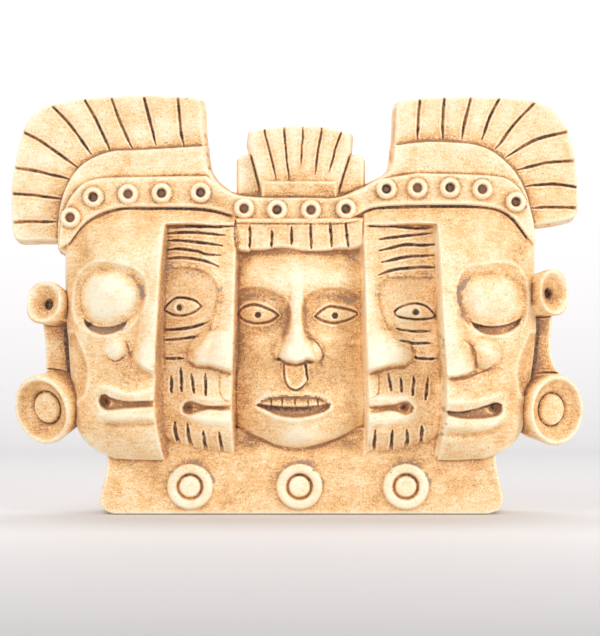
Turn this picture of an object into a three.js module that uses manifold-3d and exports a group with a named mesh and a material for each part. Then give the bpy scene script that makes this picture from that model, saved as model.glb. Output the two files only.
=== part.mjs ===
// A cast wall-style relief of a mask with three nested faces, standing on its own flared foot plate.
// Local frame while modelling: x to the viewer's right, y up from the floor, z forward from the flat back.
// Millimetres. At the end the whole piece is stood up with +Z up and its front towards -Y.
import * as THREE from "three";
import { mergeVertices } from "three/addons/utils/BufferGeometryUtils.js";
import Module from "manifold-3d";

const wasm = await Module();
wasm.setup();

// Driving dimensions: how far each layer stands forward of the flat back
const PROUD = {
  feathers: 20,
  cap: 23.5,
  headband: 28,
  rings: 31,
  middleCrest: 23,
  steps: 19,
  crestBar: 26,
  fringe: 31,
  foot: 30,
  footDiscs: 33,
  strap: 20,
  core: 22,
};
const EDGE = 1.2; // worn chamfer on the front edge of a flat layer
const CUT_WIDTH = 1.5; // width of an incised line
const OVER = 90; // further forward than anything on the piece
const UNDER = 3; // where a raised form starts, inside the core

// Driving dimensions: the three heads
const OUTER_CUT = 73.5; // distance of the sawn edge of the outer face from the middle
const MIDDLE_CUT = 34; // distance of the sawn edge of the middle face from the middle
const LEDGE = 154; // height at which the outer forehead is cut away over the middle face
const JAW = 29.5; // underside of the outer jaws
const MIDDLE_JAW = 31.5; // underside of the middle jaws
const NOSE_X = -1.6; // the inner face sits a little left of the middle

// Driving dimensions: the features of each face, as heights over it and places up from the floor
const OUTER_FACE = {
  halfWidth: 56,
  crown: 26,
  squareness: 2.6,
  socket: { depth: 7.5, rx: 27, ry: 25 },
  eyeball: { rise: 7.5, rx: 17.5, ry: 13.5 },
  nose: { bridge: 126, tip: 78, narrow: 8, wide: 20, low: 2, high: 11 },
  wing: { away: 21, radius: 6.5, proud: 45 },
  upperLip: 67,
  lowerLip: 51,
  chin: 38,
  lipRise: 2.5,
  cheekHollow: { away: 47, y: 82, depth: 4, rx: 9, ry: 22 },
  templeHollow: { away: 44, y: 135, depth: 3, rx: 9, ry: 14 },
  eyeSlit: { width: 3.2, depth: 3, steps: 6 },
  mouthSlit: { width: 3, depth: 4, steps: 4 },
};
const MIDDLE_FACE = {
  proud: 38,
  fall: 4,
  socket: { away: 27, y: 106, depth: 5, rx: 23, ry: 26 },
  eyeball: { away: 28, y: 109.5, rise: 3, rx: 13, ry: 8 },
  nose: { bridge: 122, tip: 76, narrow: 5, wide: 13, low: 2, high: 5 },
  noseBulb: { away: 12, y: 82.5, rise: 7, rx: 14, ry: 9.5 },
  upperLip: 66,
  lowerLip: 51,
  lipRise: 3.2,
  mouth: { y: 57.5, hole: 24, radius: 3.6, slit: { width: 2.8, depth: 3.5 } },
};
const INNER_FACE = {
  proud: 36,
  halfWidth: 35,
  fall: 8,
  eye: { aside: 20, y: 107, rise: 2.4, rx: 10.5, ry: 5 },
  socket: { depth: 4.5, rx: 16, ry: 13 },
  nose: { bridge: 116, tip: 82, narrow: 5, wide: 10, low: 1.5, high: 8 },
  wing: { aside: 9.4, y: 87.8, proud: 37, radius: 4.6 },
  mouth: { y: 57.5, rise: 3, rx: 26, ry: 13, floor: 34 },
  chin: { y: 42.5, rise: 2.5, rx: 16, ry: 9 },
  teeth: { width: 31, height: 6, y: 60.8 },
};

// Small helpers

const at = (x, y) => new THREE.Vector2(x, y);
const between = (low, high, t) => THREE.MathUtils.smoothstep(t, low, high);

// A closed three.js geometry as a solid that can be joined and cut.
function solid(geometry) {
  geometry.deleteAttribute("normal");
  geometry.deleteAttribute("uv");
  const merged = mergeVertices(geometry, 1e-3);
  const corners = merged.index.array;
  const kept = [];
  for (let i = 0; i < corners.length; i += 3) {
    const [a, b, c] = [corners[i], corners[i + 1], corners[i + 2]];
    if (a !== b && b !== c && c !== a) kept.push(a, b, c);
  }
  const made = new wasm.Manifold(
    new wasm.Mesh({
      numProp: 3,
      vertProperties: merged.attributes.position.array,
      triVerts: new Uint32Array(kept),
    }),
  );
  if (made.volume() > 0) return made;
  for (let i = 0; i < kept.length; i += 3)
    [kept[i + 1], kept[i + 2]] = [kept[i + 2], kept[i + 1]];
  return new wasm.Manifold(
    new wasm.Mesh({
      numProp: 3,
      vertProperties: merged.attributes.position.array,
      triVerts: new Uint32Array(kept),
    }),
  );
}

// A closed outline. Each entry is a corner, or a list of points on one smooth curve.
function outline(entries, fineness = 2) {
  const points = [];
  for (const entry of entries) {
    const stretch = Array.isArray(entry)
      ? new THREE.SplineCurve(entry).getPoints(Math.round(fineness * (entry.length - 1)))
      : [entry];
    for (const point of stretch)
      if (!points.length || points.at(-1).distanceTo(point) > 0.1) points.push(point);
  }
  if (points.at(-1).distanceTo(points[0]) < 0.1) points.pop();
  return new THREE.Shape(points);
}

// A flat layer of the casting, from the back (or from a given depth) to its own height.
function layer(shape, front, { back = 0, edge = EDGE } = {}) {
  const depth = front - back - edge;
  const body = new THREE.ExtrudeGeometry(shape, {
    depth,
    bevelEnabled: edge > 0,
    bevelThickness: edge,
    bevelSize: edge,
    bevelOffset: -edge,
    bevelSegments: 1,
  }).translate(0, 0, back);
  const position = body.getAttribute("position");
  for (let i = 0; i < position.count; i += 1)
    if (position.getZ(i) < back) position.setZ(i, back);
  return solid(body);
}

// A turned form such as a ring or a spool, from a profile of [radius, height] pairs, facing forward.
function turned(profile, sides, x, y, z, lean = 0, narrow = 1) {
  const points = profile.map(([radius, height]) => at(radius, height));
  const form = new THREE.LatheGeometry(points, sides).rotateX(Math.PI / 2);
  form.scale(narrow, 1, 1).rotateY(lean).translate(x, y, z);
  return solid(form);
}

function join(parts) {
  return parts.reduce((whole, part) => whole.add(part));
}

// A carved surface: a grid over the outline's box, raised to form(x, y), trimmed to the outline.
function relief(shape, form, cell) {
  const box = new THREE.Box2().setFromPoints(shape.getPoints(2));
  const size = box.getSize(at(0, 0));
  const middle = box.getCenter(at(0, 0));
  const block = new THREE.BoxGeometry(
    size.x,
    size.y,
    2,
    Math.round(size.x / cell),
    Math.round(size.y / cell),
    1,
  ).translate(middle.x, middle.y, 0);
  const position = block.getAttribute("position");
  for (let i = 0; i < position.count; i += 1) {
    const raised = position.getZ(i) > 0;
    position.setZ(i, raised ? form(position.getX(i), position.getY(i)) : UNDER);
  }
  return solid(block).intersect(layer(shape, OVER, { edge: 0 }));
}

// The waste of an incised line from start to end, bowed sideways by bow, following form at a depth.
function incision(start, end, form, { bow = 0, depth = 1.6, width = CUT_WIDTH, steps = 2 } = {}) {
  const length = start.distanceTo(end);
  const along = end.clone().sub(start).normalize();
  const cutter = new THREE.BoxGeometry(length, width, 2, steps, 1, 1);
  const position = cutter.getAttribute("position");
  for (let i = 0; i < position.count; i += 1) {
    const t = position.getX(i) / length + 0.5;
    const aside = position.getY(i) + bow * 4 * t * (1 - t);
    const x = start.x + along.x * t * length - along.y * aside;
    const y = start.y + along.y * t * length + along.x * aside;
    position.setXYZ(i, x, y, position.getZ(i) > 0 ? OVER : form(x, y) - depth);
  }
  return solid(cutter);
}

// The middle of a closed eye: it lies a little further out on the right-hand face.
const outerEye = (side) => (side < 0 ? { away: 26.5, y: 113.5 } : { away: 29, y: 113 });

// Forms of carving: heights in millimetres over a place on the front view

// A rounded swelling, full at its middle and level at its rim.
function swell(x, y, cx, cy, rx, ry) {
  const r2 = ((x - cx) / rx) ** 2 + ((y - cy) / ry) ** 2;
  return r2 < 1 ? (1 - r2) ** 2 : 0;
}

// A dome like part of a ball, with a crisp rim.
function dome(x, y, cx, cy, rx, ry) {
  const r2 = ((x - cx) / rx) ** 2 + ((y - cy) / ry) ** 2;
  return r2 < 1 ? Math.sqrt(1 - r2) : 0;
}

// Half a nose: a ridge along away = 0 that widens and rises from the bridge down to its tip.
function nose(away, y, { bridge, tip, narrow, wide, low, high }) {
  const t = THREE.MathUtils.clamp((bridge - y) / (bridge - tip), 0, 1);
  const half = narrow + (wide - narrow) * t ** 1.6;
  const across = Math.max(0, 1 - Math.abs(away) / half);
  const end = between(tip - 3, tip + 1.5, y);
  const start = 1 - between(bridge - 4, bridge + 6, y);
  return (low + (high - low) * t ** 1.3) * across ** 0.8 * end * start;
}

// Outer face, the eyes closed: away is the distance from its sawn edge towards the ear.
function outerForm(side) {
  const face = OUTER_FACE;
  const { cheekHollow, templeHollow, socket, eyeball } = face;
  const { away: eyeAway, y: eyeY } = outerEye(side);
  const place = (away) => side * (OUTER_CUT + away);
  return (x, y) => {
    const away = side * x - OUTER_CUT;
    const across = Math.max(0, 1 - (Math.max(0, away) / face.halfWidth) ** face.squareness);
    const top = 1 - 0.62 * between(132, 164, y);
    const bottom = 1 - 0.55 * (1 - between(JAW - 3, JAW + 20, y));
    let height = PROUD.core + face.crown * across * top * bottom;
    height -= socket.depth * swell(x, y, place(eyeAway), eyeY - 1, socket.rx, socket.ry);
    height += eyeball.rise * dome(x, y, place(eyeAway), eyeY, eyeball.rx, eyeball.ry);
    height += nose(away, y, face.nose);
    height += face.lipRise * swell(x, y, place(8), face.upperLip, 26, 8);
    height += face.lipRise * swell(x, y, place(8), face.lowerLip, 26, 7);
    height += face.lipRise * swell(x, y, place(6), face.chin, 24, 10);
    for (const hollow of [cheekHollow, templeHollow])
      height -= hollow.depth * swell(x, y, place(hollow.away), hollow.y, hollow.rx, hollow.ry);
    return height;
  };
}

// Middle face, old and lined: away is the distance from its sawn edge towards the outer face.
function middleForm(side) {
  const face = MIDDLE_FACE;
  const { socket, eyeball, noseBulb } = face;
  const place = (away) => side * (MIDDLE_CUT + away);
  return (x, y) => {
    const away = side * x - MIDDLE_CUT;
    const top = 7 * between(118, LEDGE, y);
    const bottom = 9 * (1 - between(MIDDLE_JAW - 2, MIDDLE_JAW + 14, y));
    let height = face.proud - face.fall * between(8, 40, away) - top - bottom;
    height -= socket.depth * swell(x, y, place(socket.away), socket.y, socket.rx, socket.ry);
    height += eyeball.rise * dome(x, y, place(eyeball.away), eyeball.y, eyeball.rx, eyeball.ry);
    height += nose(away, y, face.nose);
    height += noseBulb.rise * dome(x, y, place(noseBulb.away), noseBulb.y, noseBulb.rx, noseBulb.ry);
    height += face.lipRise * swell(x, y, place(8), face.upperLip, 26, 9);
    height += face.lipRise * swell(x, y, place(8), face.lowerLip, 24, 8);
    return height;
  };
}

// Inner face, young: a full face with almond eyes.
function innerForm(x, y) {
  const { proud, halfWidth, fall, eye, socket, mouth, chin } = INNER_FACE;
  const aside = x - NOSE_X;
  let height = proud - fall * (Math.abs(aside) / halfWidth) ** 2.2;
  height -= 8 * between(122, 142, y);
  height -= 9 * (1 - between(33, 48, y - 0.006 * aside ** 2));
  for (const side of [-1, 1]) {
    const eyeX = NOSE_X + side * eye.aside;
    height -= socket.depth * swell(x, y, eyeX, eye.y, socket.rx, socket.ry);
    height += eye.rise * dome(x, y, eyeX, eye.y, eye.rx, eye.ry);
  }
  height += nose(aside, y, INNER_FACE.nose);
  height += mouth.rise * swell(x, y, NOSE_X, mouth.y, mouth.rx, mouth.ry);
  height += chin.rise * swell(x, y, NOSE_X, chin.y, chin.rx, chin.ry);
  return height;
}

// Outlines on the front view

const leftCrest = outline([
  at(-127, 144),
  [at(-149, 143.5), at(-153.4, 158), at(-153.4, 174), at(-151, 190), at(-146, 206), at(-134, 217)],
  [at(-118, 220.5), at(-86, 223), at(-56, 221.5)],
  at(-51.5, 217.5),
  at(-49.5, 192),
  at(-45.5, 177),
  at(-45.5, 150),
]);
const rightCrest = outline([
  at(46, 150),
  at(46.5, 179),
  at(48.5, 196),
  at(49, 218),
  [at(53, 220.5), at(88, 222.7), at(124, 219.5)],
  [at(136, 213), at(142.5, 202), at(146.5, 184), at(148.2, 164), at(145, 153.5)],
  at(125, 151),
]);
const cap = outline([
  [at(-129.5, 142), at(-127.5, 166), at(-118.5, 184), at(-103, 192.6), at(-84, 194), at(-51, 196)],
  at(-50, 192),
  [at(-46.5, 180), at(-38, 173), at(-28, 171)],
  at(26, 171),
  [at(37, 177), at(45, 181), at(48.5, 186)],
  at(49.5, 196.3),
  [at(70, 198.2), at(96, 196), at(112, 185.5), at(121, 170), at(124.8, 150), at(124.8, 140)],
  at(116, 130),
  at(-116, 130),
]);
const headband = outline([
  [at(-128.5, 141), at(-126.5, 158), at(-120, 171), at(-109, 178), at(-80, 179.3), at(-48, 179.8)],
  [at(-38.5, 173), at(-20, 168.7), at(0, 168.4), at(19, 168.3), at(31, 173.5), at(43, 179.5)],
  [at(62, 181.2), at(100, 180), at(113, 176.5), at(121.5, 165), at(125, 150), at(124.5, 143)],
  [at(120.5, 148), at(112, 158.5), at(100, 163.4), at(75, 164.5), at(42, 163.5), at(32, 160)],
  [at(24, 155.2), at(0, 154.6), at(-27, 155)],
  [at(-37, 159.5), at(-52, 162.8), at(-79, 163.3), at(-98, 162.6), at(-113, 156), at(-122.5, 144.5)],
], 1);
const middleCrest = outline([
  at(-19.5, 168),
  at(-25.6, 190.8),
  at(-27.2, 198),
  [at(-26.5, 204.2), at(-14, 206.2), at(0, 206.6), at(14, 206), at(27.6, 203)],
  at(26.4, 192),
  at(19, 168),
]);
const crestSteps = outline([
  at(-33, 165),
  at(-33, 189.5),
  at(-31, 191.4),
  at(32.6, 191.4),
  at(34, 189),
  at(34, 165),
]);
const outerHead = (side, reach) =>
  outline([
    [
      at(side * 125.3, 147),
      at(side * 125.2, 120),
      at(side * reach, 92),
      at(side * 121, 60),
      at(side * 117.5, 44),
      at(side * 109.5, 34.5),
      at(side * 98, JAW),
    ],
    at(side * (OUTER_CUT - 1.5), JAW - 1),
    [
      at(side * (OUTER_CUT + 0.5), 48),
      at(side * (OUTER_CUT + 2), 72),
      at(side * (OUTER_CUT + 0.5), 98),
      at(side * (OUTER_CUT - 1.5), 138),
      at(side * (OUTER_CUT - 2), LEDGE),
    ],
    at(side * MIDDLE_CUT, LEDGE),
    [at(side * MIDDLE_CUT, 158), at(side * 43, 163.8), at(side * 75, 164.6), at(side * 102, 163.2)],
    [at(side * 114, 156.5), at(side * 122, 146)],
  ], 1);
const middleHead = (side) =>
  outline([
    at(side * (OUTER_CUT + 3), LEDGE + 2),
    at(side * (MIDDLE_CUT - 1.5), LEDGE + 2),
    [
      at(side * (MIDDLE_CUT - 1.5), 130),
      at(side * MIDDLE_CUT, 90),
      at(side * (MIDDLE_CUT + 1.5), 55),
      at(side * MIDDLE_CUT, MIDDLE_JAW),
    ],
    [at(side * 60, MIDDLE_JAW + 0.5), at(side * 69, MIDDLE_JAW + 3), at(side * (OUTER_CUT + 3), 37)],
  ], 1);
const innerHead = outline([
  at(-MIDDLE_CUT - 2, 143),
  at(-MIDDLE_CUT - 2, 46),
  [at(-24, 41.5), at(-13, 37), at(NOSE_X, 34.8), at(10, 37), at(21, 40.5), at(MIDDLE_CUT + 2, 46)],
  at(MIDDLE_CUT + 2, 143),
]);
const foot = outline([
  [at(-103.5, 1.8), at(-106.5, 6), at(-105.2, 14), at(-103, 24), at(-102, 46)],
  at(103, 46),
  [at(104.5, 26), at(106.5, 16), at(108.2, 7), at(105.5, 1.8)],
  at(100, 0),
  at(-99.5, 0),
], 1);
const headCore = outline([
  [at(-125, 146), at(-125.2, 120), at(-123.5, 90), at(-121, 60), at(-115, 42), at(-100, 31)],
  at(100, 31),
  [at(115, 42), at(122, 60), at(125.8, 95), at(125.2, 120), at(124.5, 150)],
  at(100, 170),
  at(-100, 170),
], 1);
const straps = [
  outline([at(-137.8, 101), at(-136.3, 88), at(-136, 74), at(-118, 74), at(-120, 101)]),
  outline([
    [at(135.3, 106), at(134.3, 90), at(136, 80), at(141, 72)],
    at(118, 72),
    at(120, 106),
  ]),
];

// Layers of the casting

const crests = join([
  layer(leftCrest, PROUD.feathers),
  layer(rightCrest, PROUD.feathers),
  layer(cap, PROUD.cap, { edge: 0 }),
  layer(crestSteps, PROUD.steps, { edge: 0 }),
  layer(middleCrest, PROUD.middleCrest),
  layer(headband, PROUD.headband, { back: UNDER, edge: 0 }),
]);
const crestBar = new THREE.BoxGeometry(40, 8.5, PROUD.crestBar).translate(-0.4, 172.7, PROUD.crestBar / 2);
const fringe = new THREE.BoxGeometry(67, 15.5, PROUD.fringe).translate(-0.6, 148.2, PROUD.fringe / 2);

// Lines between the feathers: foot of the line on the cap, lean from upright, length
const FEATHER_LINES = [
  [-62.1, 196.5, 7, 29],
  [-77, 197, 14, 29],
  [-89.9, 196, 23, 31],
  [-101.6, 194.5, 28, 34],
  [-112, 192.5, 40, 36],
  [-119.3, 185, 57, 36],
  [-124, 178.8, 79, 32],
  [-127.5, 168, 84, 29],
  [-130.5, 155.7, 90, 25],
  [62.8, 200.5, -3, 24],
  [76.5, 200.5, -3, 25],
  [86.8, 200, -12, 26],
  [97.5, 199, -23, 28],
  [105, 195, -39, 35],
  [110.3, 190.5, -67, 38],
  [116.2, 184, -81, 34],
  [121, 176, -94, 30],
  [124, 163.5, -90, 26],
];
const FAN_LINES = [
  [-13.4, 180, 13.5, 30],
  [-6, 180, 6, 30],
  [0.3, 184, -3, 26],
  [7.6, 181, -10, 30],
  [15.6, 182, -17, 26],
];
const flatAt = (height) => () => height;

function rayLine([x, y, lean, length], height) {
  const angle = THREE.MathUtils.degToRad(lean);
  const end = at(x - Math.sin(angle) * length, y + Math.cos(angle) * length);
  return incision(at(x, y), end, flatAt(height), { steps: 1 });
}
const crestLines = FEATHER_LINES.map((line) => rayLine(line, PROUD.feathers));
const fanLines = FAN_LINES.map((line) => rayLine(line, PROUD.middleCrest));
const FRINGE_LINES = [-27, -15.4, -4.8, 5.5, 16.8, 24.8];
const fringeLines = FRINGE_LINES.map((x) =>
  incision(at(x, 141), at(x, 154), flatAt(PROUD.fringe), { steps: 1 }),
);

// The ring beads on the headband
const RING = { radius: 5.3, hole: 2.3, deep: 3 };
const RING_PLACES = [
  at(-122, 157.6),
  at(-109.8, 168.5),
  at(-91.3, 170.1),
  at(-73.5, 170.6),
  at(-52.8, 170.9),
  at(-29.7, 162.4),
  at(-12.2, 161.7),
  at(5.8, 161.6),
  at(24.4, 162.2),
  at(45.9, 172.8),
  at(62.3, 173.3),
  at(79.6, 173.5),
  at(96.8, 172.6),
  at(114.6, 165.9),
];
const rings = RING_PLACES.map(({ x, y }) =>
  turned(
    [
      [0, PROUD.headband - 4],
      [RING.radius, PROUD.headband - 4],
      [RING.radius - 0.5, PROUD.rings],
      [0, PROUD.rings],
    ],
    10,
    x,
    y,
    0,
  ),
);
const ringHoles = RING_PLACES.map(({ x, y }) => {
  const hole = new THREE.CylinderGeometry(RING.hole, RING.hole, 20, 8).rotateX(Math.PI / 2);
  return solid(hole.translate(x, y, PROUD.rings - RING.deep + 10));
});

// The three ring discs on the foot
const DISC = { radius: 11.8, line: 6.4 };
const discs = [-58.3, -0.3, 56.1].map((x) =>
  turned(
    [
      [0, PROUD.foot - 5],
      [DISC.radius, PROUD.foot - 5],
      [DISC.radius, PROUD.footDiscs - 1.4],
      [DISC.radius - 1.6, PROUD.footDiscs],
      [DISC.line + 0.8, PROUD.footDiscs],
      [DISC.line, PROUD.footDiscs - 1.6],
      [DISC.line - 0.8, PROUD.footDiscs],
      [0, PROUD.footDiscs],
    ],
    14,
    x,
    15,
    0,
  ),
);

// Ear ornaments: a small flared spool over a large dished one, each turned a little outwards
const SMALL_SPOOL = { radius: 10.6, front: 33, lean: 0.35, narrow: 0.9, sides: 10 };
const LARGE_SPOOL = { radius: 18.6, front: 33.5, lean: 0.5, narrow: 0.86, sides: 14 };

function spool(side, { x, y }, { radius, front, lean, narrow, sides }, dish) {
  const profile = [[0, 6 - front], [radius - 3, 6 - front], [radius, -1.8], [radius - 1.2, 0], ...dish];
  return turned(profile, sides, x, y, front, side * lean, narrow);
}

function earSpools(side, small, large) {
  const cup = [[7.9, -0.5], [2.6, -7], [2.2, -11], [0, -11]];
  const dish = [[15.3, -0.6], [9.5, -4], [8.7, -5.4], [7.9, -3.8], [0, -3.4]];
  return spool(side, small, SMALL_SPOOL, cup).add(spool(side, large, LARGE_SPOOL, dish));
}
const ears = join([
  earSpools(-1, { x: -135.2, y: 112 }, { x: -135.6, y: 55.6 }),
  earSpools(1, { x: 133.4, y: 118 }, { x: 135, y: 55.6 }),
  ...straps.map((strap) => layer(strap, PROUD.strap)),
]);

// The faces, each on a grid of its own fineness; ala is the rounded wing of a nose
const OUTER_CELL = 6;
const MIDDLE_CELL = 5.6;
const INNER_CELL = 5;
const ala = (x, y, z, radius) =>
  solid(new THREE.SphereGeometry(radius, 8, 6).rotateX(Math.PI / 2).translate(x, y, z));

function outerFace(side, reach) {
  const { wing, eyeSlit, mouthSlit } = OUTER_FACE;
  const form = outerForm(side);
  const eye = outerEye(side);
  const place = (away, y) => at(side * (OUTER_CUT + away), y);
  const wingPlace = place(wing.away, side < 0 ? 88 : 86);
  const slitStart = place(eye.away - 15, eye.y - 12);
  const slitEnd = place(eye.away + 17, eye.y - 11);
  return relief(outerHead(side, reach), form, OUTER_CELL)
    .add(ala(wingPlace.x, wingPlace.y, wing.proud, wing.radius))
    .subtract(incision(slitStart, slitEnd, form, { bow: side * -6, ...eyeSlit }))
    .subtract(incision(place(-6, 58), place(30, 61), form, { bow: side * 1.5, ...mouthSlit }));
}

function middleFace(side) {
  const form = middleForm(side);
  const { mouth, eyeball } = MIDDLE_FACE;
  const place = (away, y) => at(side * (MIDDLE_CUT + away), y);
  const cuts = [];
  const cut = (start, end, options) => cuts.push(incision(start, end, form, options));
  // Lines across the brow, falling towards the nose
  for (let row = 0; row < 4; row += 1) {
    const y = LEDGE - 4.5 - 5.1 * row;
    cut(place(7.5, y - 3), place(37.5, y), { steps: 1 });
  }
  // Lines under the eye
  cut(place(14, 101), place(38, 98), { steps: 1 });
  cut(place(18, 95), place(38, 93), { steps: 1 });
  // Upright lines over and under the mouth
  for (const away of [13, 20, 27, 33.5]) cut(place(away, 65), place(away, 76), { steps: 1 });
  for (const away of [7, 16, 24, 31]) cut(place(away, 34), place(away, 46), { steps: 1 });
  // The rims of the almond eye
  const corners = [place(eyeball.away - 11, 109), place(eyeball.away + 11, 108.5)];
  cut(...corners, { bow: side * 6, steps: 3 });
  cut(...corners, { bow: side * -4.5, steps: 3 });
  // The mouth, a slit with a round open corner
  cut(place(-3, mouth.y), place(mouth.hole + 2, mouth.y), mouth.slit);
  const hole = new THREE.CylinderGeometry(mouth.radius, mouth.radius - 1, 40, 10);
  hole.rotateX(Math.PI / 2).translate(side * (MIDDLE_CUT + mouth.hole), mouth.y, 54);
  cuts.push(solid(hole));
  return cuts.reduce(
    (face, waste) => face.subtract(waste),
    relief(middleHead(side), form, MIDDLE_CELL),
  );
}

function innerFace() {
  const { wing, eye, mouth, teeth } = INNER_FACE;
  let face = relief(innerHead, innerForm, INNER_CELL);
  for (const side of [-1, 1]) {
    const corners = [-10.5, 10.5].map((half) => at(NOSE_X + side * (eye.aside + half), eye.y - 0.5));
    face = face
      .add(ala(NOSE_X + side * wing.aside, wing.y, wing.proud, wing.radius))
      .subtract(incision(...corners, innerForm, { bow: side * 5.5, steps: 3 }))
      .subtract(incision(...corners, innerForm, { bow: side * -5, steps: 3 }));
  }
  // The open mouth, with the row of upper teeth standing across it
  const lips = outline([
    [at(-24, 58.5), at(-15, 63), at(NOSE_X, 63.8), at(10, 62.8), at(17, 59.2)],
    [at(10, 54.5), at(NOSE_X, 51.5), at(-14, 54), at(-24, 58.5)],
  ]);
  const row = new THREE.BoxGeometry(teeth.width, teeth.height, teeth.height);
  return face
    .subtract(layer(lips, OVER, { back: mouth.floor, edge: 0 }))
    .add(solid(row.translate(NOSE_X - 0.6, teeth.y, mouth.floor)));
}

// Nose ornament of the inner face, a flat loop hung under the nose
const pendant = turned(
  [
    [4.4, 30],
    [6.4, 30],
    [6.4, 39],
    [5.9, 39.8],
    [4.4, 39],
    [4.4, 30],
  ],
  14,
  -2.4,
  73,
  0,
);

// The whole casting

const heads = join([
  outerFace(-1, 123.8),
  outerFace(1, 126),
  middleFace(-1),
  middleFace(1),
  innerFace(),
  pendant,
]);
const body = join([
  layer(headCore, PROUD.core, { edge: 0 }),
  layer(foot, PROUD.foot),
  crests,
  solid(crestBar),
  solid(fringe),
  ears,
  heads,
  ...rings,
  ...discs,
]);
const carved = [...crestLines, ...fanLines, ...fringeLines, ...ringHoles].reduce(
  (whole, cut) => whole.subtract(cut),
  body,
);

const made = carved.getMesh();
const geometry = new THREE.BufferGeometry();
geometry.setAttribute("position", new THREE.BufferAttribute(made.vertProperties, 3));
geometry.setIndex(new THREE.BufferAttribute(made.triVerts, 1));
geometry.rotateX(Math.PI / 2);
geometry.computeBoundingBox();
const centre = geometry.boundingBox.getCenter(new THREE.Vector3());
geometry.translate(-centre.x, -centre.y, -geometry.boundingBox.min.z);
geometry.computeVertexNormals();

const ivory = new THREE.MeshStandardMaterial({ color: 0xecd2a4, roughness: 0.72, metalness: 0 });
const mask = new THREE.Mesh(geometry, ivory);
mask.name = "mask";

const group = new THREE.Group();
group.add(mask);

export default group;
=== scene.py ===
import math

import bpy
import numpy as np
from mathutils import Matrix, Vector


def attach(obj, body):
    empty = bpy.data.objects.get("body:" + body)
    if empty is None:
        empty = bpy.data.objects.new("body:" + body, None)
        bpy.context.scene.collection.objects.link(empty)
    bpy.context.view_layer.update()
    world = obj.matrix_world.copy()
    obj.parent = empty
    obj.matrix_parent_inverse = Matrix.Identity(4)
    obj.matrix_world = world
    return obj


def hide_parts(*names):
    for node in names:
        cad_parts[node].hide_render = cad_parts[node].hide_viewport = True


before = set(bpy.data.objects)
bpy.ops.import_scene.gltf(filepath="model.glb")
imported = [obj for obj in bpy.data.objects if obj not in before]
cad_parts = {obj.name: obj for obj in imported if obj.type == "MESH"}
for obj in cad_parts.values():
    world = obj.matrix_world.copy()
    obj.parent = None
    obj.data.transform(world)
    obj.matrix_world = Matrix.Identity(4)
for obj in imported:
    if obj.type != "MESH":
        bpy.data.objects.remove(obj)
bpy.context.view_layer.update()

# The slab that everything is carved on
# One pour of marble dust and resin in an open mould, so it has a carved front and a flat back.
# Its front is kept as a map of heights over the back, in millimetres: x to the right, z up.
GRAIN = 0.42
LEFT, RIGHT = -157.5, 152.0
BOTTOM, TOP = -3.0, 226.5
# Where the map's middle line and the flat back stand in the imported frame
PHOTO_AXIS, BACK = 2.81, 28.36
# The height that stands for no casting, and how far out from an outline its wall is worked
NOTHING, WALL_REACH = -9.0, 9
columns = np.arange(LEFT, RIGHT, GRAIN)
rows = np.arange(BOTTOM, TOP, GRAIN)
x, z = np.meshgrid(columns, rows)
# Channels of the map: height, dark line colour, brown wash and grey-violet residue. Painted shadow is
# also laid into the dark line channel, and painted shade and painted light into the wash channel.
HEIGHT, INK_AND_SHADOW, WASH_AND_SHADING, STAIN = range(4)
casting = np.zeros((4, *x.shape))
casting[HEIGHT] = NOTHING
hand = np.random.default_rng(7)


def ease(low, high, value):
    t = np.clip((value - low) / (high - low), 0, 1)
    return t * t * (3 - 2 * t)


def curve(points, steps=8):
    """A smooth run through the given points."""
    points = np.array(points, float)
    padded = np.vstack([points[:1], points, points[-1:]])
    t = np.linspace(0, 1, steps, endpoint=False)[:, None]
    runs = []
    for a, b, c, d in zip(padded, padded[1:], padded[2:], padded[3:]):
        bend = (2 * a - 5 * b + 4 * c - d) * t**2 + (3 * b - a - 3 * c + d) * t**3
        runs.append(0.5 * (2 * b + (c - a) * t + bend))
    return np.vstack([*runs, points[-1:]])


def outline(*entries):
    """A closed outline. Each entry is a corner, or a list of points on one smooth curve."""
    return np.vstack([curve(e) if isinstance(e, list) else [e] for e in entries])


def around(path, margin):
    """The part of the map that holds a path, with a margin in millimetres."""
    low, high = np.min(path, axis=0) - margin, np.max(path, axis=0) + margin
    across = slice(max(0, int((low[0] - LEFT) / GRAIN)), max(0, int((high[0] - LEFT) / GRAIN) + 2))
    up = slice(max(0, int((low[1] - BOTTOM) / GRAIN)), max(0, int((high[1] - BOTTOM) / GRAIN) + 2))
    return up, across


def nearest(path, at):
    """Distance to a path, and how far along the path, from 0 to 1, its nearest point is."""
    lengths = np.hypot(*np.diff(path, axis=0).T)
    starts = np.concatenate([[0], np.cumsum(lengths)])
    px, pz = x[at], z[at]
    best, along = np.full(px.shape, 1e9), np.zeros(px.shape)
    for (ax, az), (bx, bz), length, start in zip(path, path[1:], lengths, starts):
        if length < 1e-6:
            continue
        dx, dz = (bx - ax) / length, (bz - az) / length
        t = np.clip((px - ax) * dx + (pz - az) * dz, 0, length)
        distance = np.hypot(px - ax - t * dx, pz - az - t * dz)
        nearer = distance < best
        best[nearer] = distance[nearer]
        along[nearer] = (start + t)[nearer]
    return best, along / starts[-1]


def within(shape, at):
    """Distance from a closed outline, above 0 inside it."""
    closed = np.vstack([shape, shape[:1]])
    distance, _ = nearest(closed, at)
    px, pz = x[at], z[at]
    odd = np.zeros(px.shape, bool)
    for (ax, az), (bx, bz) in zip(closed, closed[1:]):
        if az != bz:
            odd ^= ((az > pz) != (bz > pz)) & (px < ax + (pz - az) * (bx - ax) / (bz - az))
    return np.where(odd, distance, -distance)


def beside(side, cut, *points):
    """Points given by how far they lie from a cut towards the ear, set out at one side."""
    return [(side * (cut + away), up) for away, up in points]


def sheet(height, wash_and_shading):
    """A layer with no edges yet, at one height or at a map of heights."""
    layer = np.zeros_like(casting)
    layer[HEIGHT] = height
    layer[WASH_AND_SHADING] = wash_and_shading
    return layer


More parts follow.
